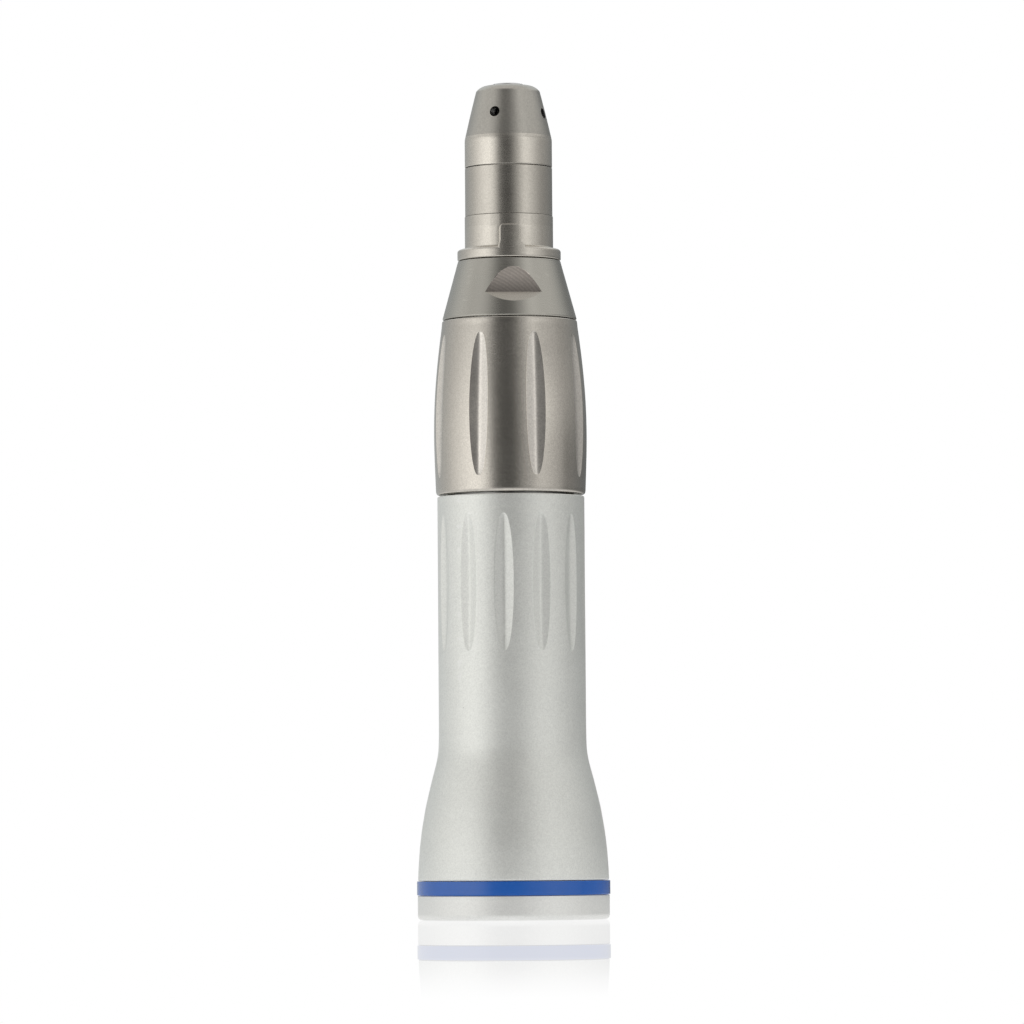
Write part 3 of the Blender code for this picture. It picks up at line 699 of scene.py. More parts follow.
def cap_cone():
    (top_r, top_z), (foot_r, foot_z) = CAP_SHOULDER, CAP_CONE_FOOT
    fractions = [k / CAP_CONE_STEPS for k in range(1, CAP_CONE_STEPS + 1)]
    return [(top_r + (foot_r - top_r) * u + CAP_CONE_BULGE * sin(pi * u),
             top_z + (foot_z - top_z) * u) for u in fractions]


def nose_cap():
    profile = smooth_curve(CAP_CURVE, 0.06) + cap_cone() + CAP_BAND + rounded(CAP_BORE, 3)
    drills = []
    for k in range(HOLE_COUNT):
        x, y, _ = spin((0.0, -1.0, 0.0), HOLE_PHASE + 360.0 / HOLE_COUNT * k)
        drills.append(rod_loops(HOLE_R, (x * 2.0, y * 2.0, HOLE_Z),
                                (x * 5.2, y * 5.2, HOLE_Z), sides=40))
    mesh = cut(lathe_mesh("nose_cap_fine", profile, 160), drills)
    piece("nose_cap_fine", mesh, "housing", "matt_steel", ("nose_cap",),
          ("satin_steel", "inner_steel", "hole_wall"))
    for polygon in mesh.polygons:
        radius, z = polar(polygon)
        # a surface 0.35 inside the cone parts the outside from the bore
        bore_r = CAP_SHOULDER[0] + (CAP_SHOULDER[1] - z) * 0.242 - 0.35
        outward = Vector((polygon.center.x, polygon.center.y, 0)).normalized()
        if z < 81.80 and radius > 4.3:
            polygon.material_index = 1
        elif z < 86.0 and radius < bore_r:
            polygon.material_index = 2
        elif abs(z - HOLE_Z) < HOLE_R + 0.02 and polygon.normal.dot(outward) < 0.5:
            polygon.material_index = 3


nose_cap()

turned("nose_sleeve", "housing", "satin_steel", [
    (4.57, 78.53, 0.035), (4.57, 73.485, 0.015), (4.05, 73.485), (4.05, 78.53)],
    columns=192, corner_steps=4)


# ---- nose base: tube, lower sleeve with a raised key in front, flange, spigot ----
# (radius, z)
BASE_TUBE = [
    (3.87, 81.00), (3.93, 80.96), (3.95, 80.90), (3.95, 80.8), (3.95, 78.2),
    (3.95, 78.12), (3.93, 78.10), (3.54, 78.10), (3.52, 78.08), (3.52, 77.52),
    (3.54, 77.50), (3.93, 77.50), (3.95, 77.48), (3.95, 77.40), (3.95, 73.55),
    (3.97, 73.45), (4.02, 73.44), (4.56, 73.45), (4.595, 73.449), (4.612, 73.44),
    (STEP_R, 73.42), (STEP_R, 73.36)]
BASE_FILLET = [(STEP_R, 70.16), (4.63, 70.12), (4.66, 70.09), (4.72, 70.07),
               (4.9, 70.04), (5.12, 69.99)]
BASE_SPIGOT = [
    (RIM_R, 69.60), (RIM_R, 69.4), (RIM_R, 69.2), (RIM_R, 69.05),
    (5.407, 68.965), (5.400, 68.945), (5.325, 68.855), (5.29, 68.84),
    (5.1, 68.84), (4.8, 68.84), (4.50, 68.84), (4.42, 68.83), (4.40, 68.80),
    (4.40, 68.7), (4.40, 68.5), (4.40, 68.31), (4.40, 68.29), (4.40, 68.1),
    (4.40, 64.0), (4.40, 61.9), (4.36, 61.82), (4.28, 61.80)]
# (radius, z, corner radius)
BASE_BORE = [(3.56, 61.80, 0.06), (3.56, 68.05, 0.06), (3.15, 68.05, 0.05),
             (3.15, 78.90, 0.05), (3.56, 78.90, 0.06), (3.56, 81.00, 0.06)]
# rows round the key's top edge, as heights above it
KEY_TOP_ROWS = (0.10, 0.045, 0.02, 0.0, -0.012, -0.030, -0.055, -0.085, -0.12,
                -0.17, -0.23, -0.30, -0.40, -0.52)
# columns in from each side of the key
KEY_SIDE_COLUMNS = np.array([0.0, 0.010, 0.026, 0.048, 0.075, 0.11, 0.16, 0.24])
RIM_ROUND = 0.27


def base_profile():
    levels = [*np.arange(73.1, KEY_TOP + 0.12, -0.2),
              *(KEY_TOP + rise for rise in KEY_TOP_ROWS),
              *np.arange(71.5, 70.75, -0.2), *np.arange(70.70, 70.17, -0.07)]
    rim = []
    for k in range(8):
        angle = radians(80.0 - 80.0 * k / 7.0)
        rim.append((RIM_R - RIM_ROUND + RIM_ROUND * cos(angle),
                    69.70 + RIM_ROUND * sin(angle)))
    return (BASE_TUBE + [(STEP_R, float(z)) for z in levels] + BASE_FILLET + rim +
            BASE_SPIGOT + rounded(BASE_BORE, 3))


def key_edges(z):
    """Left and right edge of the key at a height, mm across the front."""
    into_corner = (z - (KEY_TOP - KEY_CORNER)) / KEY_CORNER
    if into_corner > 0:
        into_corner = min(into_corner, 1.0)
        inset = KEY_CORNER * (1 - sqrt(max(0.0, 1 - into_corner ** 2)))
        return inset - KEY_HALF, KEY_HALF - inset
    flare = min(max((70.72 - z) / 0.62, 0.0), 1.0)      # run-out into the flange
    return -KEY_HALF - 0.13 * flare ** 2, KEY_HALF + 0.50 * flare ** 2.2


def key_row(radius, z):
    """Angles and radii of one row round the nose base."""
    left, right = key_edges(min(z, KEY_TOP))
    x = np.concatenate([
        [-2.1, -1.95, left - 0.45, left - 0.25, left - 0.12, left - 0.055, left - 0.045],
        left + KEY_SIDE_COLUMNS,
        np.linspace(left + 0.34, right - 0.34, 15),
        (right - KEY_SIDE_COLUMNS)[::-1],
        [right + 0.025, right + 0.035, right + 0.12, right + 0.25, right + 0.45,
         2.1, 2.25]])
    radii = np.full(len(x), radius)
    if 69.3 < z <= KEY_TOP + 1e-6 and radius > 4.6:
        # distance in from the nearest edge sets how far the rounding falls
        depth = np.minimum(np.minimum(x - left, (right - x) * 2.0), KEY_TOP - z)
        short = np.clip(KEY_EDGE - depth, 0.0, KEY_EDGE)
        fall = KEY_EDGE - np.sqrt(np.maximum(KEY_EDGE ** 2 - short * short, 0.0))
        inside = (x >= left - 1e-9) & (x <= right + 1e-9)
        radii = np.where(inside, np.maximum(radius, RIM_R - fall), radius)
    near = np.arcsin(np.clip(x / radii, -0.9, 0.9))
    far = np.linspace(near[-1], 2 * pi + near[0], 190)[1:-1]
    return (np.concatenate([near, far]) + radians(KEY_PHASE),
            np.concatenate([radii, np.full(len(far), radius)]))


def nose_base():
    profile = np.array(base_profile(), float)
    angles, radii = zip(*(key_row(radius, z) for radius, z in profile))
    mesh = ring_grid("nose_base_fine", np.array(radii), profile[:, 1], np.array(angles))
    piece("nose_base_fine", mesh, "housing", "satin_steel", ("nose_base",))


nose_base()

# ---- nose cone with two flats, front and back ---------------------------------
CONE_SLOPE = (CONE_FOOT[0] - CONE_TOP[0]) / (CONE_TOP[1] - CONE_FOOT[1])
CONE_FLAT_COLUMNS = (0, .15, .3, .45, .6, .72, .82, .90, .96, .99, 1.0)
# (radius, z)
CONE_HEAD = [(5.27, 68.755), (5.33, 68.75), (5.368, 68.73), (5.388, 68.69)]
CONE_EDGE = [(7.012, 62.72), (7.008, 62.705), (6.945, 62.625), (6.93, 62.61),
             (6.90, 62.60)]
# (radius, z, corner radius)
CONE_BORE = [(5.87, 62.60, 0.06), (5.87, 63.50, 0.06), (4.46, 63.50, 0.06),
             (4.46, 68.755, 0.06)]


class Flats:
    """Upright flats above the ridge, a 45 degree facet below it."""

    def distance(self, z):
        """Distance from the axis to the flat."""
        return FLAT_DIST if z >= FLAT_RIDGE else FLAT_DIST + (FLAT_RIDGE - z)

    def half_angle(self, radius, z):
        distance = self.distance(z)
        return 0.0 if radius <= distance * 1.00002 else acos(distance / radius)

    def carve(self, angle, z):
        return self.distance(z) / np.cos(angle)


def cone_levels():
    """Row heights, closer together towards the ends of the flat and facet."""
    flat_top = CONE_TOP[1] - (FLAT_DIST - CONE_TOP[0]) / CONE_SLOPE
    facet_low = ((FLAT_DIST + FLAT_RIDGE - CONE_TOP[0] - CONE_SLOPE * CONE_TOP[1]) /
                 (1 - CONE_SLOPE))
    down = np.linspace(0, 1, 24)[1:]
    levels = [CONE_TOP[1], 68.5, 68.2, flat_top + 0.01]
    levels += list(flat_top - (flat_top - FLAT_RIDGE - 0.06) * down ** 1.7)
    levels += [FLAT_RIDGE + 0.03, FLAT_RIDGE, FLAT_RIDGE - 0.03]
    down = np.linspace(0, 1, 12)[:-1]
    levels += list(FLAT_RIDGE - 0.07 -
                   (FLAT_RIDGE - 0.07 - facet_low) * (1 - (1 - down) ** 1.7))
    levels += [facet_low + 0.004, facet_low - 0.01, facet_low - 0.1, facet_low - 0.35,
               63.4, 63.1, 62.9, 62.8, 62.74]
    return sorted(set(round(float(z), 5) for z in levels), reverse=True)


def cone_radius(z):
    fraction = (CONE_TOP[1] - z) / (CONE_TOP[1] - CONE_FOOT[1])
    return CONE_TOP[0] + (CONE_FOOT[0] - CONE_TOP[0]) * fraction


def nose_cone():
    profile = (CONE_HEAD + [(cone_radius(z), z) for z in cone_levels()] + CONE_EDGE +
               rounded(CONE_BORE, 3))
    mesh = sector_grid("nose_cone_fine", profile, count=2, phase=FLAT_PHASE,
                       feature=Flats(), plain_columns=44,
                       feature_columns=CONE_FLAT_COLUMNS, sharp=24.0)
    piece("nose_cone_fine", mesh, "housing", "cone_steel", ("nose_cone",),
          ("cone_milled_painted_shade",))
    for side in (0.0, 180.0):
        angle = radians(FLAT_PHASE + side)
        facing = Vector((sin(angle), -cos(angle), 0.0))
        for polygon in mesh.polygons:
            centre = polygon.center / MM
            if (FLAT_RIDGE < centre.z < 68.4 and polygon.normal.dot(facing) > 0.5 and
                    abs(centre.dot(facing) - FLAT_DIST) < 0.012):
                polygon.material_index = 1


nose_cone()


# ---- fluted pieces ------------------------------------------------------------
FLUTE_COLUMNS = (0, .12, .26, .42, .58, .74, .88, .965, 1.0)


class Flutes:
    """V flutes with a rounded bottom, fading out at both ends.

    surface(z) is the radius they are cut into; spread is the half width gained
    per depth, bottom the rounding of the floor."""

    def __init__(self, surface, low, high, depth, spread, bottom):
        self.surface = surface
        self.low, self.high = low, high
        self.middle, self.half_length = 0.5 * (low + high), 0.5 * (high - low)
        self.depth, self.spread, self.bottom = depth, spread, bottom

    def rows(self, count):
        """Heights along the flute, closer together at its ends."""
        return self.middle + self.half_length * np.cos(np.linspace(0.02, pi - 0.02, count))

    def floor(self, z):
        """Radius at the bottom of the flute."""
        along = (z - self.middle) / self.half_length
        return self.surface(z) - self.depth * max(0.0, 1 - along * along) ** 0.56

    def carve(self, angle, z):
        angle = np.asarray(angle, float)
        floor = self.floor(z)
        radius = np.full(angle.shape, floor)
        for _ in range(12):
            x = radius * np.sin(angle)
            rise = (np.sqrt(x * x + self.bottom ** 2) - self.bottom) / self.spread
            radius = (floor + rise) / np.cos(angle)
        return radius

    def half_angle(self, radius, z):
        """Angle at which the flute's wall meets the given radius."""
        if not self.low < z < self.high or self.floor(z) >= radius - 2e-4:
            return 0.0
        small, large = 0.0, radians(14.9)
        for _ in range(40):
            guess = 0.5 * (small + large)
            if float(self.carve(np.array([guess]), z)[0]) < radius:
                small = guess
            else:
                large = guess
        return 0.5 * (small + large)


# ---- lock ring, eight flutes ----
# (radius, z)
LOCK_CURVE = [(7.075, 62.30), (7.12, 61.80), (7.20, 61.20), (7.34, 60.10),
              (7.54, 58.40), (7.74, 56.30), (7.88, 54.30), (7.955, 52.40),
              (7.98, 50.50), (7.955, 48.60), (7.89, 46.60), (7.84, 45.20),
              (7.83, 44.90)]
LOCK_TOP_EDGE = [(6.90, 62.485), (6.98, 62.483), (7.03, 62.465), (7.055, 62.425),
                 (7.066, 62.37)]
LOCK_LOW_EDGE = [(7.828, 44.86), (7.822, 44.72), (7.805, 44.58), (7.765, 44.44),
                 (7.70, 44.35), (7.61, 44.305), (7.50, 44.30), (7.38, 44.30)]
# (radius, z, corner radius)
LOCK_BORE = [(6.62, 44.30, 0.08), (6.62, 61.00, 0.08), (5.92, 61.00, 0.06),
             (5.92, 62.485, 0.06)]


def lock_ring():
    curve = np.array(smooth_curve(LOCK_CURVE, 0.2))
    curve = curve[np.argsort(curve[:, 1])]

    def surface(z):
        return np.interp(z, curve[:, 1], curve[:, 0])

    flutes = Flutes(surface, low=46.0, high=60.92, depth=0.37, spread=2.85, bottom=0.20)
    levels = np.concatenate([np.arange(62.28, 60.98, -0.12), flutes.rows(84),
                             np.arange(45.92, 44.90, -0.12)])
    outside = (LOCK_TOP_EDGE + list(zip(surface(levels).tolist(), levels.tolist())) +
               LOCK_LOW_EDGE)
    mesh = sector_grid("lock_ring_fine", outside + rounded(LOCK_BORE, 3), count=8,
                       phase=LOCK_PHASE, feature=flutes, plain_columns=8,
                       feature_columns=FLUTE_COLUMNS)
    piece("lock_ring_fine", mesh, "lock_ring", "grip_steel", ("lock_ring",),
          ("grip_flute",))
    outside_z, outside_r = zip(*sorted((z, radius) for radius, z in outside))
    for polygon in mesh.polygons:
        radius, z = polar(polygon)
        if (45.9 < z < 61.0 and radius > 6.9 and
                radius < np.interp(z, outside_z, outside_r) - 0.010):
            polygon.material_index = 1


lock_ring()

# ---- rear body, twelve flutes and a flared foot ----
# (radius, z)
BODY_TOP_EDGE = [(7.53, 44.10), (7.59, 44.095), (7.64, 44.07), (7.67, 44.02),
                 (BODY_R, 43.96)]
BODY_FLARE = [(BODY_R, 21.0), (7.685, 19.6), (7.70, 18.7), (7.74, 17.7), (7.885, 16.7),
              (8.15, 15.6), (8.42, 14.6), (8.69, 13.5), (8.93, 12.5), (9.15, 11.5),
              (9.34, 10.4), (9.51, 9.4), (9.65, 8.3), (9.76, 7.3), (9.84, 6.2),
              (9.91, 5.2), (9.94, 4.45)]
BODY_LOW_EDGE = [(9.945, 4.26), (9.94, 4.18), (9.92, 4.11), (9.87, 4.08), (9.82, 4.08)]
# (radius, z, corner radius)
BODY_BORE = [(9.36, 4.08, 0.05), (9.36, 6.30, 0.06), (8.30, 6.30, 0.06),
             (8.30, 9.05, 0.08), (7.14, 9.05, 0.08), (7.14, 27.20, 0.15),
             (5.20, 27.20, 0.10), (5.20, 32.90, 0.10), (5.87, 32.90, 0.06),
             (5.87, 44.10, 0.08)]


def rear_body():
    flutes = Flutes(lambda z: BODY_R, low=27.85, high=42.05, depth=0.33, spread=3.45,
                    bottom=0.13)
    levels = np.concatenate([np.arange(43.9, 42.2, -0.15), flutes.rows(80),
                             np.arange(27.75, 26.9, -0.12), np.arange(26.8, 21.2, -0.4)])
    profile = (BODY_TOP_EDGE + [(BODY_R, float(z)) for z in levels] +
               smooth_curve(BODY_FLARE, 0.3) + BODY_LOW_EDGE + rounded(BODY_BORE, 3))
    mesh = sector_grid("rear_body_fine", profile, count=12, phase=BODY_PHASE,
                       feature=flutes, plain_columns=6, feature_columns=FLUTE_COLUMNS)
    piece("rear_body_fine", mesh, "housing", "body_coat", ("rear_body",),
          ("inner_steel",))
    for polygon in mesh.polygons:
        radius, z = polar(polygon)
        if (radius < 7.3 and z < 33.0) or (radius < 8.6 and z < 9.2):
            polygon.material_index = 1


rear_body()

# ---- rings at the foot ----
turned("blue_ring", "housing", "blue_ring", [
    (10.07, 4.03, 0.06), (10.07, 2.57, 0.06), (9.36, 2.57), (9.36, 4.03)],
    columns=224, corner_steps=5)
turned("base_ring", "housing", "base_coat", [
    (8.20, 7.70, 0.10), (8.20, 6.10), (9.30, 6.10, 0.10), (9.30, 2.53),
    (10.0, 2.53, 0.09), (10.0, 0.0, 0.55), (8.40, 0.0, 0.12),
    (7.50, 0.90, 0.10), (7.50, 7.70)], columns=224, corner_steps=7)

# =============================================================================
# housing, inside pieces
# =============================================================================
# the tube's slots let the cam pins travel
turned("core_tube", "housing", "inner_steel", [
    (5.80, 63.40, 0.10), (5.80, 33.00, 0.10), (4.56, 33.00), (4.56, 42.60),
    (4.00, 42.60), (4.00, 43.60), (5.00, 43.60), (5.00, 61.60, 0.05),
    (4.46, 61.90, 0.05), (4.46, 63.40)],
    cutters=side_slots(0.80, CAM_PIN_Z, CAM_PIN_Z + CAM_LIFT, near=4.2, far=6.6))
turned("coupling_sleeve", "housing", "inner_steel", [
    (7.08, 27.10, 0.10), (7.08, 9.00), (8.20, 9.00, 0.10), (8.20, 7.80, 0.08),
    (6.95, 7.80, 0.08), (6.50, 8.35, 0.08), (6.50, 19.50, 0.06),
    (6.80, 19.80, 0.10), (6.80, 20.50, 0.10), (6.50, 20.80, 0.06),
    (6.50, 27.10)], columns=160)


# ---- bearing races ----
def race_track(radius, bottom, top, ball_r, depth):
    """Shallow ball track at mid height, from low to high; its depth is signed."""
    middle = 0.5 * (bottom + top)
    half_width = 0.55 * ball_r + 0.06
    return [(radius + depth * (1 - abs(sin(t)) ** 2), middle + sin(t) * half_width, 0.0)
            for t in np.linspace(-pi / 2, pi / 2, 9)]


def outer_race(bearing):
    outside, bore = bearing.outer_race
    bottom, top = bearing.bottom, bearing.outer_top
    turned(f"{bearing.name}_bearing_outer_race", "housing", "bearing_steel", [
        (outside, top, 0.12), (outside, bottom, 0.12), (bore, bottom, 0.05),
        *race_track(bore, bottom, top, bearing.ball_r, 0.10),
        (bore, top, 0.05)], columns=96)


def inner_race(bearing):
    outside, bore = bearing.inner_race
    bottom, top = bearing.bottom, bearing.inner_top
    turned(f"{bearing.name}_bearing_inner_race", "rotor", "bearing_steel", [
        (outside, top, 0.05),
        *reversed(race_track(outside, bottom, top, bearing.ball_r, -0.10)),
        (outside, bottom, 0.05), (bore, bottom, 0.10), (bore, top, 0.10)], columns=96)


for item in BEARINGS:
    outer_race(item)
for item in BEARINGS:
    inner_race(item)

# ---- nuts and washer ----
turned("middle_bearing_nut", "housing", "inner_steel", [
    (3.50, 65.40), (3.50, 63.70), (2.90, 63.70), (2.90, 65.40)], columns=96,
    cutters=end_notches(0.4, near=2.4, far=4.0, z0=63.2, z1=64.3))
turned("preload_washer", "housing", "spring_steel", [
    (4.48, 39.30, 0.03), (4.48, 38.90, 0.03), (3.50, 38.60, 0.03),
    (3.40, 38.80, 0.03), (4.00, 39.25, 0.03)], columns=96)
turned("rear_bearing_nut", "housing", "inner_steel", [
    (4.50, 38.50), (4.50, 36.00, 0.12), (2.80, 36.00, 0.12), (2.80, 38.50, 0.1)],
    columns=96, cutters=end_notches(0.45, near=2.4, far=5.0, z0=35.5, z1=36.8))


# ---- O-rings ----
def o_ring(cad_name, ring_r, cord_r, z, sides=20):
    turns = [2 * pi * i / sides for i in range(sides)]
    profile = [(ring_r + cord_r * sin(t), z + cord_r * cos(t)) for t in turns]
    mesh = lathe_mesh(cad_name + "_fine", profile, 96, sharp=0)
    piece(cad_name + "_fine", mesh, "housing", "seal_rubber", (cad_name,))


o_ring("cap_o_ring", ring_r=3.76, cord_r=0.20, z=77.80)
o_ring("lock_o_ring_front", ring_r=6.21, cord_r=0.33, z=60.30)
o_ring("lock_o_ring_rear", ring_r=6.21, cord_r=0.33, z=45.00)


# =============================================================================
# lock ring and push sleeve
# =============================================================================
def cam_slots():
    """Cutters for the two helical slots, lofted along the helix."""
    run = -radians(CAM_TWIST) * CAM_MEAN_R
    length = hypot(run, CAM_LIFT)
    along_arc, along_z = run / length, CAM_LIFT / length
    half = CAM_SLOT_HALF
    # (distance along the slot, half width): round end, straight, round end
    stations = [(-half * sin(t), half * cos(t)) for t in np.linspace(radians(86), 0, 8)]
    stations += [(length * k / 12.0, half) for k in range(1, 13)]
    stations += [(length + half * sin(t), half * cos(t))
                 for t in np.linspace(0, radians(86), 8)[1:]]
    slots = []
    for side in (0.0, 180.0):
        loops = []
        for along, width in stations:
            loop = []
            for radius, sign in ((5.6, -1), (6.9, -1), (6.9, 1), (5.6, 1)):
                arc = along * along_arc - sign * width * along_z
                z = CAM_PIN_Z + along * along_z + sign * width * along_arc
                loop.append(spin((radius, 0.0, z), side + degrees(arc / CAM_MEAN_R)))
            loops.append(loop)
        slots.append(loops)
    return slots


turned("cam_ring", "lock_ring", "inner_steel", [
    (6.56, 51.90), (6.56, 45.90), (5.90, 45.90), (5.90, 51.90)], cutters=cam_slots())
turned("glide_bush", "lock_ring", "bush_bronze", [
    (6.54, 57.00), (6.54, 53.00), (5.88, 53.00), (5.88, 57.00)])

turned("push_sleeve", "push_sleeve", "inner_steel", [
    (4.92, 50.90, 0.12), (4.92, 46.30, 0.12), (3.68, 46.30), (3.68, 50.90)],
    cutters=side_holes(CAM_PIN_HOLE_R, near=3.2, far=5.5, z=CAM_PIN_Z))
for hand, sign in (("right", 1), ("left", -1)):
    pin(f"cam_pin_{hand}", "push_sleeve", CAM_PIN_R,
        (sign * 4.0, 0, CAM_PIN_Z), (sign * 6.45, 0, CAM_PIN_Z))

# =============================================================================
# rotor
# =============================================================================
turned("spindle", "rotor", "inner_steel", [
    (1.96, 85.20, 0.10), (1.96, 65.45), (2.50, 65.45, 0.10), (2.50, 61.40),
    (3.50, 61.40, 0.12), (3.50, 45.60, 0.12), (2.95, 45.60), (2.95, 60.50),
    (1.56, 60.50), (1.56, 83.20, 0.05), (1.72, 85.20, 0.05)], columns=112,
    cutters=side_slots(0.60, 51.80, 52.90, near=2.6, far=4.0))
turned("rear_shaft", "rotor", "inner_steel", [
    (0.0, 48.50), (2.88, 48.50, 0.15), (2.88, 45.50), (3.50, 45.50, 0.10),
    (3.50, 44.90, 0.10), (3.00, 44.90), (3.00, 42.60), (2.48, 42.60),
    (2.48, 36.00, 0.10), (2.00, 36.00), (2.00, 29.50, 0.15), (0.0, 29.50)],
    columns=96,
    cutters=[rod_loops(DOG_PIN_HOLE_R, (-3.6, 0, DOG_PIN_Z), (3.6, 0, DOG_PIN_Z))])
turned("spindle_spacer", "rotor", "inner_steel", [
    (2.50, 78.95), (2.50, 68.05), (2.03, 68.05), (2.03, 78.95)], columns=96)
turned("spindle_nut", "rotor", "inner_steel", [
    (2.50, 83.00, 0.12), (2.50, 81.60), (2.03, 81.60), (2.03, 83.00)], columns=96)
turned("drive_dog", "rotor", "bearing_steel", [
    (3.00, 32.50, 0.14), (3.00, 27.50, 0.14), (2.06, 27.50, 0.08), (2.06, 32.50)],
    columns=96, cutters=(end_notches(0.65, near=1.2, far=3.6, z0=26.8, z1=29.3) +
                         side_holes(DOG_PIN_HOLE_R, near=1.5, far=3.6, z=DOG_PIN_Z)))
pin("dog_pin", "rotor", DOG_PIN_R, (-2.90, 0, DOG_PIN_Z), (2.90, 0, DOG_PIN_Z))


# ---- coil spring ----
def coil_path(bottom, top, end_turns, active_turns, steps_per_turn):
    """Centre line of the wire, with closed turns at both ends."""
    turns = 2 * end_turns + active_turns
    count = int(turns * steps_per_turn) + 1
    low, high = bottom + SPRING_WIRE_R, top - SPRING_WIRE_R
    closed = 2.1 * SPRING_WIRE_R * end_turns
    active = (high - low) - 2 * closed
    points = []
    for i in range(count):
        turn = turns * i / (count - 1)
        if turn <= end_turns:
            z = low + closed * turn / end_turns
        elif turn >= end_turns + active_turns:
            z = high - closed * (turns - turn) / end_turns
        else:
            z = low + closed + active * (turn - end_turns) / active_turns
        angle = 2 * pi * turn
        points.append(Vector((SPRING_R * cos(angle), SPRING_R * sin(angle), z)))
    return points


def spring_mesh(name, points, sides=14):
    count = len(points)
    verts, faces = [], []
    for i, point in enumerate(points):
        along = (points[min(i + 1, count - 1)] - points[max(i - 1, 0)]).normalized()
        outward = Vector((point.x, point.y, 0)).normalized()
        across = along.cross(outward).normalized()
        outward = across.cross(along).normalized()
        for k in range(sides):
            angle = 2 * pi * k / sides
            vert = (point + outward * (SPRING_WIRE_R * cos(angle)) +
                    across * (SPRING_WIRE_R * sin(angle)))
            verts.append(tuple(vert * MM))
    for i in range(count - 1):
        for k in range(sides):
            n = (k + 1) % sides
            faces.append((i * sides + k, i * sides + n, (i + 1) * sides + n,
                          (i + 1) * sides + k))
    faces.append(tuple(reversed(range(sides))))
    faces.append(tuple((count - 1) * sides + k for k in range(sides)))
    mesh = make_mesh(name, verts, faces, sharp=50.0)
    recalc_normals(mesh)
    return mesh


coil = coil_path(SPRING_TOP - SPRING_LENGTH, SPRING_TOP, end_turns=1.0,
                 active_turns=5.0, steps_per_turn=40)
spring = piece("chuck_spring_fine", spring_mesh("chuck_spring_fine", coil),
               "rotor", "spring_steel", ("chuck_spring",))
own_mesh(spring)

# =============================================================================
# collet group
# =============================================================================
# three slits part the collet's upper end
turned("collet", "collet", "bearing_steel", [
    (1.64, TIP_Z, 0.22), (1.64, 84.70, 0.10), (1.50, 83.20, 0.10),
    (1.50, 53.00, 0.08), (1.22, 53.00, 0.06), (1.22, 70.00, 0.02),
    (1.19, 70.20, 0.02), (1.19, TIP_Z, 0.10)], columns=96, corner_steps=4,
    cutters=[box_loops(0.7, 2.4, -0.13, 0.13, 70.0, 88.4, deg=90.0 + 120.0 * k)
             for k in range(3)])
turned("collet_nut", "collet", "inner_steel", [
    (1.95, 55.20, 0.08), (1.95, 52.90), (2.85, 52.90, 0.08), (2.85, 50.80, 0.08),
    (0.0, 50.80), (0.0, 52.60), (1.56, 52.90, 0.04), (1.56, 55.20)], columns=96,
    cutters=[rod_loops(CROSS_PIN_HOLE_R, (-3.4, 0, CROSS_PIN_Z), (3.4, 0, CROSS_PIN_Z))])
pin("cross_pin", "collet", CROSS_PIN_R, (-4.45, 0, CROSS_PIN_Z), (4.45, 0, CROSS_PIN_Z))
turned("pin_collar", "collet", "inner_steel", [
    (4.60, 52.55, 0.08), (4.60, 51.15, 0.08), (3.57, 51.15), (3.57, 52.55)],
    columns=112, cutters=side_holes(CROSS_PIN_HOLE_R, near=3.2, far=5.2, z=CROSS_PIN_Z))


# =============================================================================
# bearing cages and balls
# =============================================================================
def ball_angles(count):
    return [2 * pi * (k + 0.5) / count for k in range(count)]


def ball_mesh(name, count, pitch_r, ball_r, z, columns=20, rings=12):
    verts, faces = [], []
    for place in ball_angles(count):
        centre_x, centre_y = pitch_r * cos(place), pitch_r * sin(place)
        base = len(verts)
        verts.append((centre_x * MM, centre_y * MM, (z + ball_r) * MM))
        for i in range(1, rings):
            polar_angle = pi * i / rings
            for j in range(columns):
                angle = 2 * pi * j / columns
                verts.append(((centre_x + ball_r * sin(polar_angle) * cos(angle)) * MM,
                              (centre_y + ball_r * sin(polar_angle) * sin(angle)) * MM,
                              (z + ball_r * cos(polar_angle)) * MM))
        verts.append((centre_x * MM, centre_y * MM, (z - ball_r) * MM))
        last = len(verts) - 1
        for j in range(columns):
            n = (j + 1) % columns
            faces.append((base, base + 1 + j, base + 1 + n))
            for i in range(rings - 2):
                row = base + 1 + i * columns
                faces.append((row + j, row + columns + j, row + columns + n, row + n))
            row = base + 1 + (rings - 2) * columns
            faces.append((row + j, last, row + n))
    return make_mesh(name, verts, faces, sharp=0)


def cage(bearing):
    """Drilled cage ring and its balls, at the inner race's mid height."""
    name, body = f"{bearing.name}_bearing_cage", f"{bearing.name}_cage"
    z = 0.5 * (bearing.bottom + bearing.inner_top)
    pitch_r = 0.5 * (bearing.outer_race[1] + bearing.inner_race[0])
    bore, outside = bearing.cage
    low, high = z - bearing.cage_half_height, z + bearing.cage_half_height
    near, far = bore - 0.3, outside + 0.3
    pockets = []
    for place in ball_angles(bearing.balls):
        x, y = cos(place), sin(place)
        pockets.append(rod_loops(bearing.ball_r * 1.04, (x * near, y * near, z),
                                 (x * far, y * far, z), sides=24))
    turned(name, body, "cage_polymer", [
        (outside, high), (outside, low), (bore, low), (bore, high)],
        columns=96, cutters=pockets)
    balls = ball_mesh(name + "_balls_fine", bearing.balls, pitch_r, bearing.ball_r, z)
    piece(name + "_balls_fine", balls, body, "bearing_steel")


for item in BEARINGS:
    cage(item)

# =============================================================================
# stage: floor, light, camera (metres)
# =============================================================================
scene = bpy.context.scene
scene.view_settings.view_transform = "Standard"
scene.view_settings.look = "None"
scene.view_settings.exposure = 0.0
scene.view_settings.gamma = 1.0

FLOOR_COLUMNS = 96
FLOOR_RINGS = (0.02, 0.05, 0.1, 0.2, 0.5, 2.0, 8.0, 40.0)
FLOOR_DROP = 0.00002            # keeps the floor just under the base ring
MIRROR_REACH = 0.4
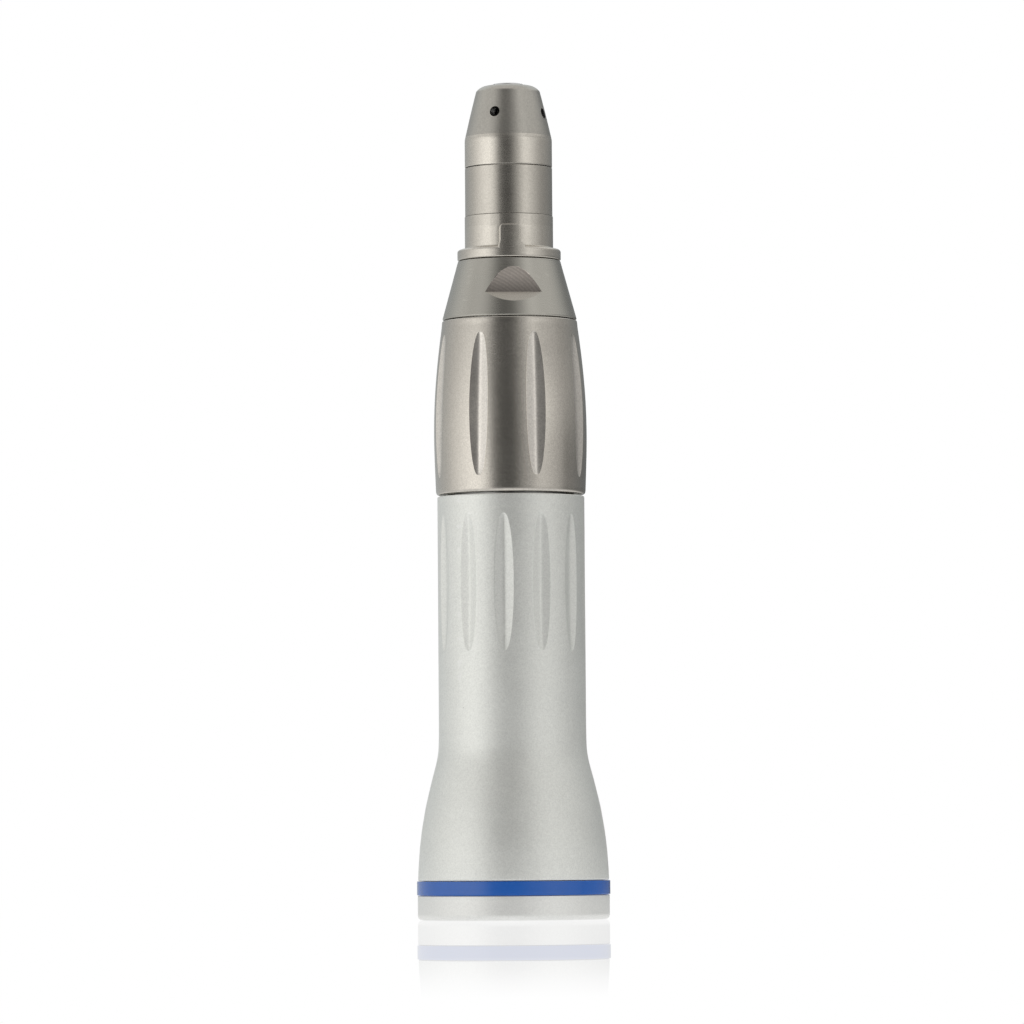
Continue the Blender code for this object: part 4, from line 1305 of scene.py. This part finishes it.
# (distance from the axis / MIRROR_REACH, share of mirror reflection)
MIRROR_FADE = ((0.0, 0.33), (0.553, 0.33), (0.617, 0.24), (0.682, 0.18),
               (0.757, 0.09), (0.845, 0.0))


def floor_material():
    material = bpy.data.materials.new("studio_floor_white")
    tree = Tree(material)
    camera_ray = tree.node("ShaderNodeLightPath").outputs["Is Camera Ray"]
    other_ray = tree.math("SUBTRACT", 1.0, camera_ray)
    length = tree.node("ShaderNodeVectorMath", operation="LENGTH")
    tree.feed(length.inputs[0], tree.node("ShaderNodeTexCoord").outputs["Object"])
    distance = length.outputs["Value"]

    # painted shadow from ambient occlusion: the camera sees white, a little darker where
    # the object stands; the object sees grey
    occlusion = tree.node("ShaderNodeAmbientOcclusion")
    occlusion.samples = 8
    occlusion.inputs["Distance"].default_value = 0.012
    painted_contact_shadow = tree.remap(occlusion.outputs["AO"], span=(0.0, 0.5), out=(0.90, 1.0))
    level = tree.math("ADD", tree.math("MULTIPLY", camera_ray, painted_contact_shadow),
                      tree.math("MULTIPLY", other_ray, 0.85))
    white = tree.node("ShaderNodeEmission")
    tree.feed(white.inputs["Strength"], level)

    mirror = tree.node("ShaderNodeBsdfGlossy")
    mirror.inputs["Roughness"].default_value = 0.0
    mirror.inputs["Color"].default_value = grey(1.0)
    fade = tree.ramp(tree.math("DIVIDE", distance, MIRROR_REACH), MIRROR_FADE)
    near = tree.mix_shader(tree.math("MULTIPLY", fade, camera_ray),
                           white.outputs[0], mirror.outputs[0])

    # away from the object its reflections see the studio, not the floor
    clear = tree.node("ShaderNodeBsdfTransparent")
    far = tree.math("MULTIPLY", tree.remap(distance, span=(0.05, 0.18)), other_ray)
    tree.output("ShaderNodeOutputMaterial", tree.mix_shader(far, near, clear.outputs[0]))
    return material


def studio_floor():
    """Round floor: a fan in the middle and rings of quads outside it."""
    verts, faces = [(0, 0, 0)], []
    for radius in FLOOR_RINGS:
        for j in range(FLOOR_COLUMNS):
            angle = 2 * pi * j / FLOOR_COLUMNS
            verts.append((radius * cos(angle), radius * sin(angle), 0.0))
    for j in range(FLOOR_COLUMNS):
        n = (j + 1) % FLOOR_COLUMNS
        faces.append((0, 1 + j, 1 + n))
        for i in range(len(FLOOR_RINGS) - 1):
            row = 1 + i * FLOOR_COLUMNS
            faces.append((row + j, row + FLOOR_COLUMNS + j,
                          row + FLOOR_COLUMNS + n, row + n))
    mesh = bpy.data.meshes.new("studio_floor")
    mesh.from_pydata(verts, [], faces)
    floor = bpy.data.objects.new("studio_floor", mesh)
    floor.location = (0, 0, -FLOOR_DROP)
    scene.collection.objects.link(floor)
    mesh.materials.append(floor_material())


studio_floor()

# One softbox each side, a dark gap where the camera stands, an even ceiling.
# Each band: the span of view height z over which it takes over from the band
# before, then (azimuth, level). Azimuth 0 is -Y, 90 is +X.
SKY_BANDS = (
    (None,
     ((-180, .50), (-130, .56), (-110, .64), (-95, .88), (-80, 1.06), (-60, 1.30),
      (-48, 1.30), (-38, 1.08), (-31, .56), (-24, .17), (-12, .08), (4, .07),
      (12, .17), (20, .35), (30, .43), (42, .61), (50, .71), (62, .60), (84, .41),
      (91, .19), (110, .20), (150, .16), (172, .16), (180, .40))),
    ((0.03, 0.12),
     ((-180, .42), (-150, .42), (-130, .50), (-110, .60), (-90, .84), (-70, 1.16),
      (-58, 1.28), (-46, 1.18), (-37, .92), (-30, .50), (-23, .18), (-12, .08),
      (4, .08), (12, .24), (20, .46), (30, .78), (38, 1.20), (48, 1.38), (60, 1.02),
      (80, .64), (100, .48), (120, .38), (150, .25), (172, .24), (180, .42))),
    ((0.15, 0.27),
     ((-180, .50), (-130, .52), (-100, .62), (-80, .80), (-60, .96), (-48, .88),
      (-38, .60), (-30, .30), (-22, .10), (2, .08), (10, .18), (20, .40), (30, .64),
      (38, .82), (46, .62), (54, .50), (82, .44), (90, .34), (120, .27), (150, .22),
      (180, .46))),
    ((0.30, 0.46),
     ((-180, .84), (-110, .86), (-95, .76), (-80, .62), (-64, .70), (-52, .66),
      (-40, .50), (-30, .28), (-20, .14), (-8, .12), (6, .18), (16, .34), (28, .55),
      (40, .84), (50, .84), (60, .70), (80, .76), (100, .80), (120, .84),
      (140, .76), (180, .82))),
)
WARM_TINT, COOL_TINT = (1.0, 0.99, 0.965, 1.0), (0.95, 1.0, 1.04, 1.0)
CEILING, GROUND = (0.71, 0.69, 0.67, 1.0), (0.55, 0.55, 0.54, 1.0)


def studio_world():
    world = bpy.data.worlds.new("studio")
    scene.world = world
    tree = Tree(world)
    split = tree.node("ShaderNodeSeparateXYZ")
    tree.feed(split.inputs[0], tree.node("ShaderNodeTexCoord").outputs["Generated"])
    x, y, z = split.outputs
    azimuth = tree.math("ARCTAN2", x, tree.math("MULTIPLY", y, -1.0))
    turn = tree.math("ADD", tree.math("DIVIDE", azimuth, 2 * pi), 0.5)
    light = None
    for span, stops in SKY_BANDS:
        band = tree.ramp(turn, [((deg + 180) / 360.0, level) for deg, level in stops])
        light = tree.mix(tree.remap(z, span=span), light, band) if span else band
    light = tree.multiply(light, WARM_TINT)
    # cooler towards the back
    back = tree.remap(tree.math("ABSOLUTE", azimuth), span=(1.7, 2.6))
    light = tree.mix(back, light, tree.multiply(light, COOL_TINT))
    light = tree.mix(tree.remap(z, span=(0.66, 0.92)), light, CEILING)
    light = tree.mix(tree.remap(z, span=(-0.20, -0.60)), light, GROUND)
    # plain white for the camera and the floor's mirror
    path = tree.node("ShaderNodeLightPath")
    seen = tree.math("MAXIMUM", path.outputs["Is Camera Ray"],
                     path.outputs["Is Singular Ray"])
    background = tree.node("ShaderNodeBackground")
    tree.feed(background.inputs["Color"], tree.mix(seen, light, grey(1.0)))
    background.inputs["Strength"].default_value = 1.0
    tree.output("ShaderNodeOutputWorld", background.outputs[0])


studio_world()

CAMERA_DISTANCE, CAMERA_HEIGHT = 0.661, 0.0077
CAMERA_PITCH, CAMERA_YAW, CAMERA_ROLL = 3.015, -0.0095, 0.42    # degrees


def studio_camera():
    data = bpy.data.cameras.new("camera")
    data.sensor_width = 36.0
    data.sensor_fit = "HORIZONTAL"
    data.lens = 222.60
    data.clip_start = 0.01
    data.clip_end = 100.0
    camera = bpy.data.objects.new("camera", data)
    scene.collection.objects.link(camera)
    camera.matrix_world = (
        Matrix.Translation((0.0, -CAMERA_DISTANCE, CAMERA_HEIGHT)) @
        Matrix.Rotation(radians(CAMERA_YAW), 4, "Z") @
        Matrix.Rotation(radians(90.0 + CAMERA_PITCH), 4, "X") @
        Matrix.Rotation(radians(-CAMERA_ROLL), 4, "Z"))
    scene.camera = camera


studio_camera()
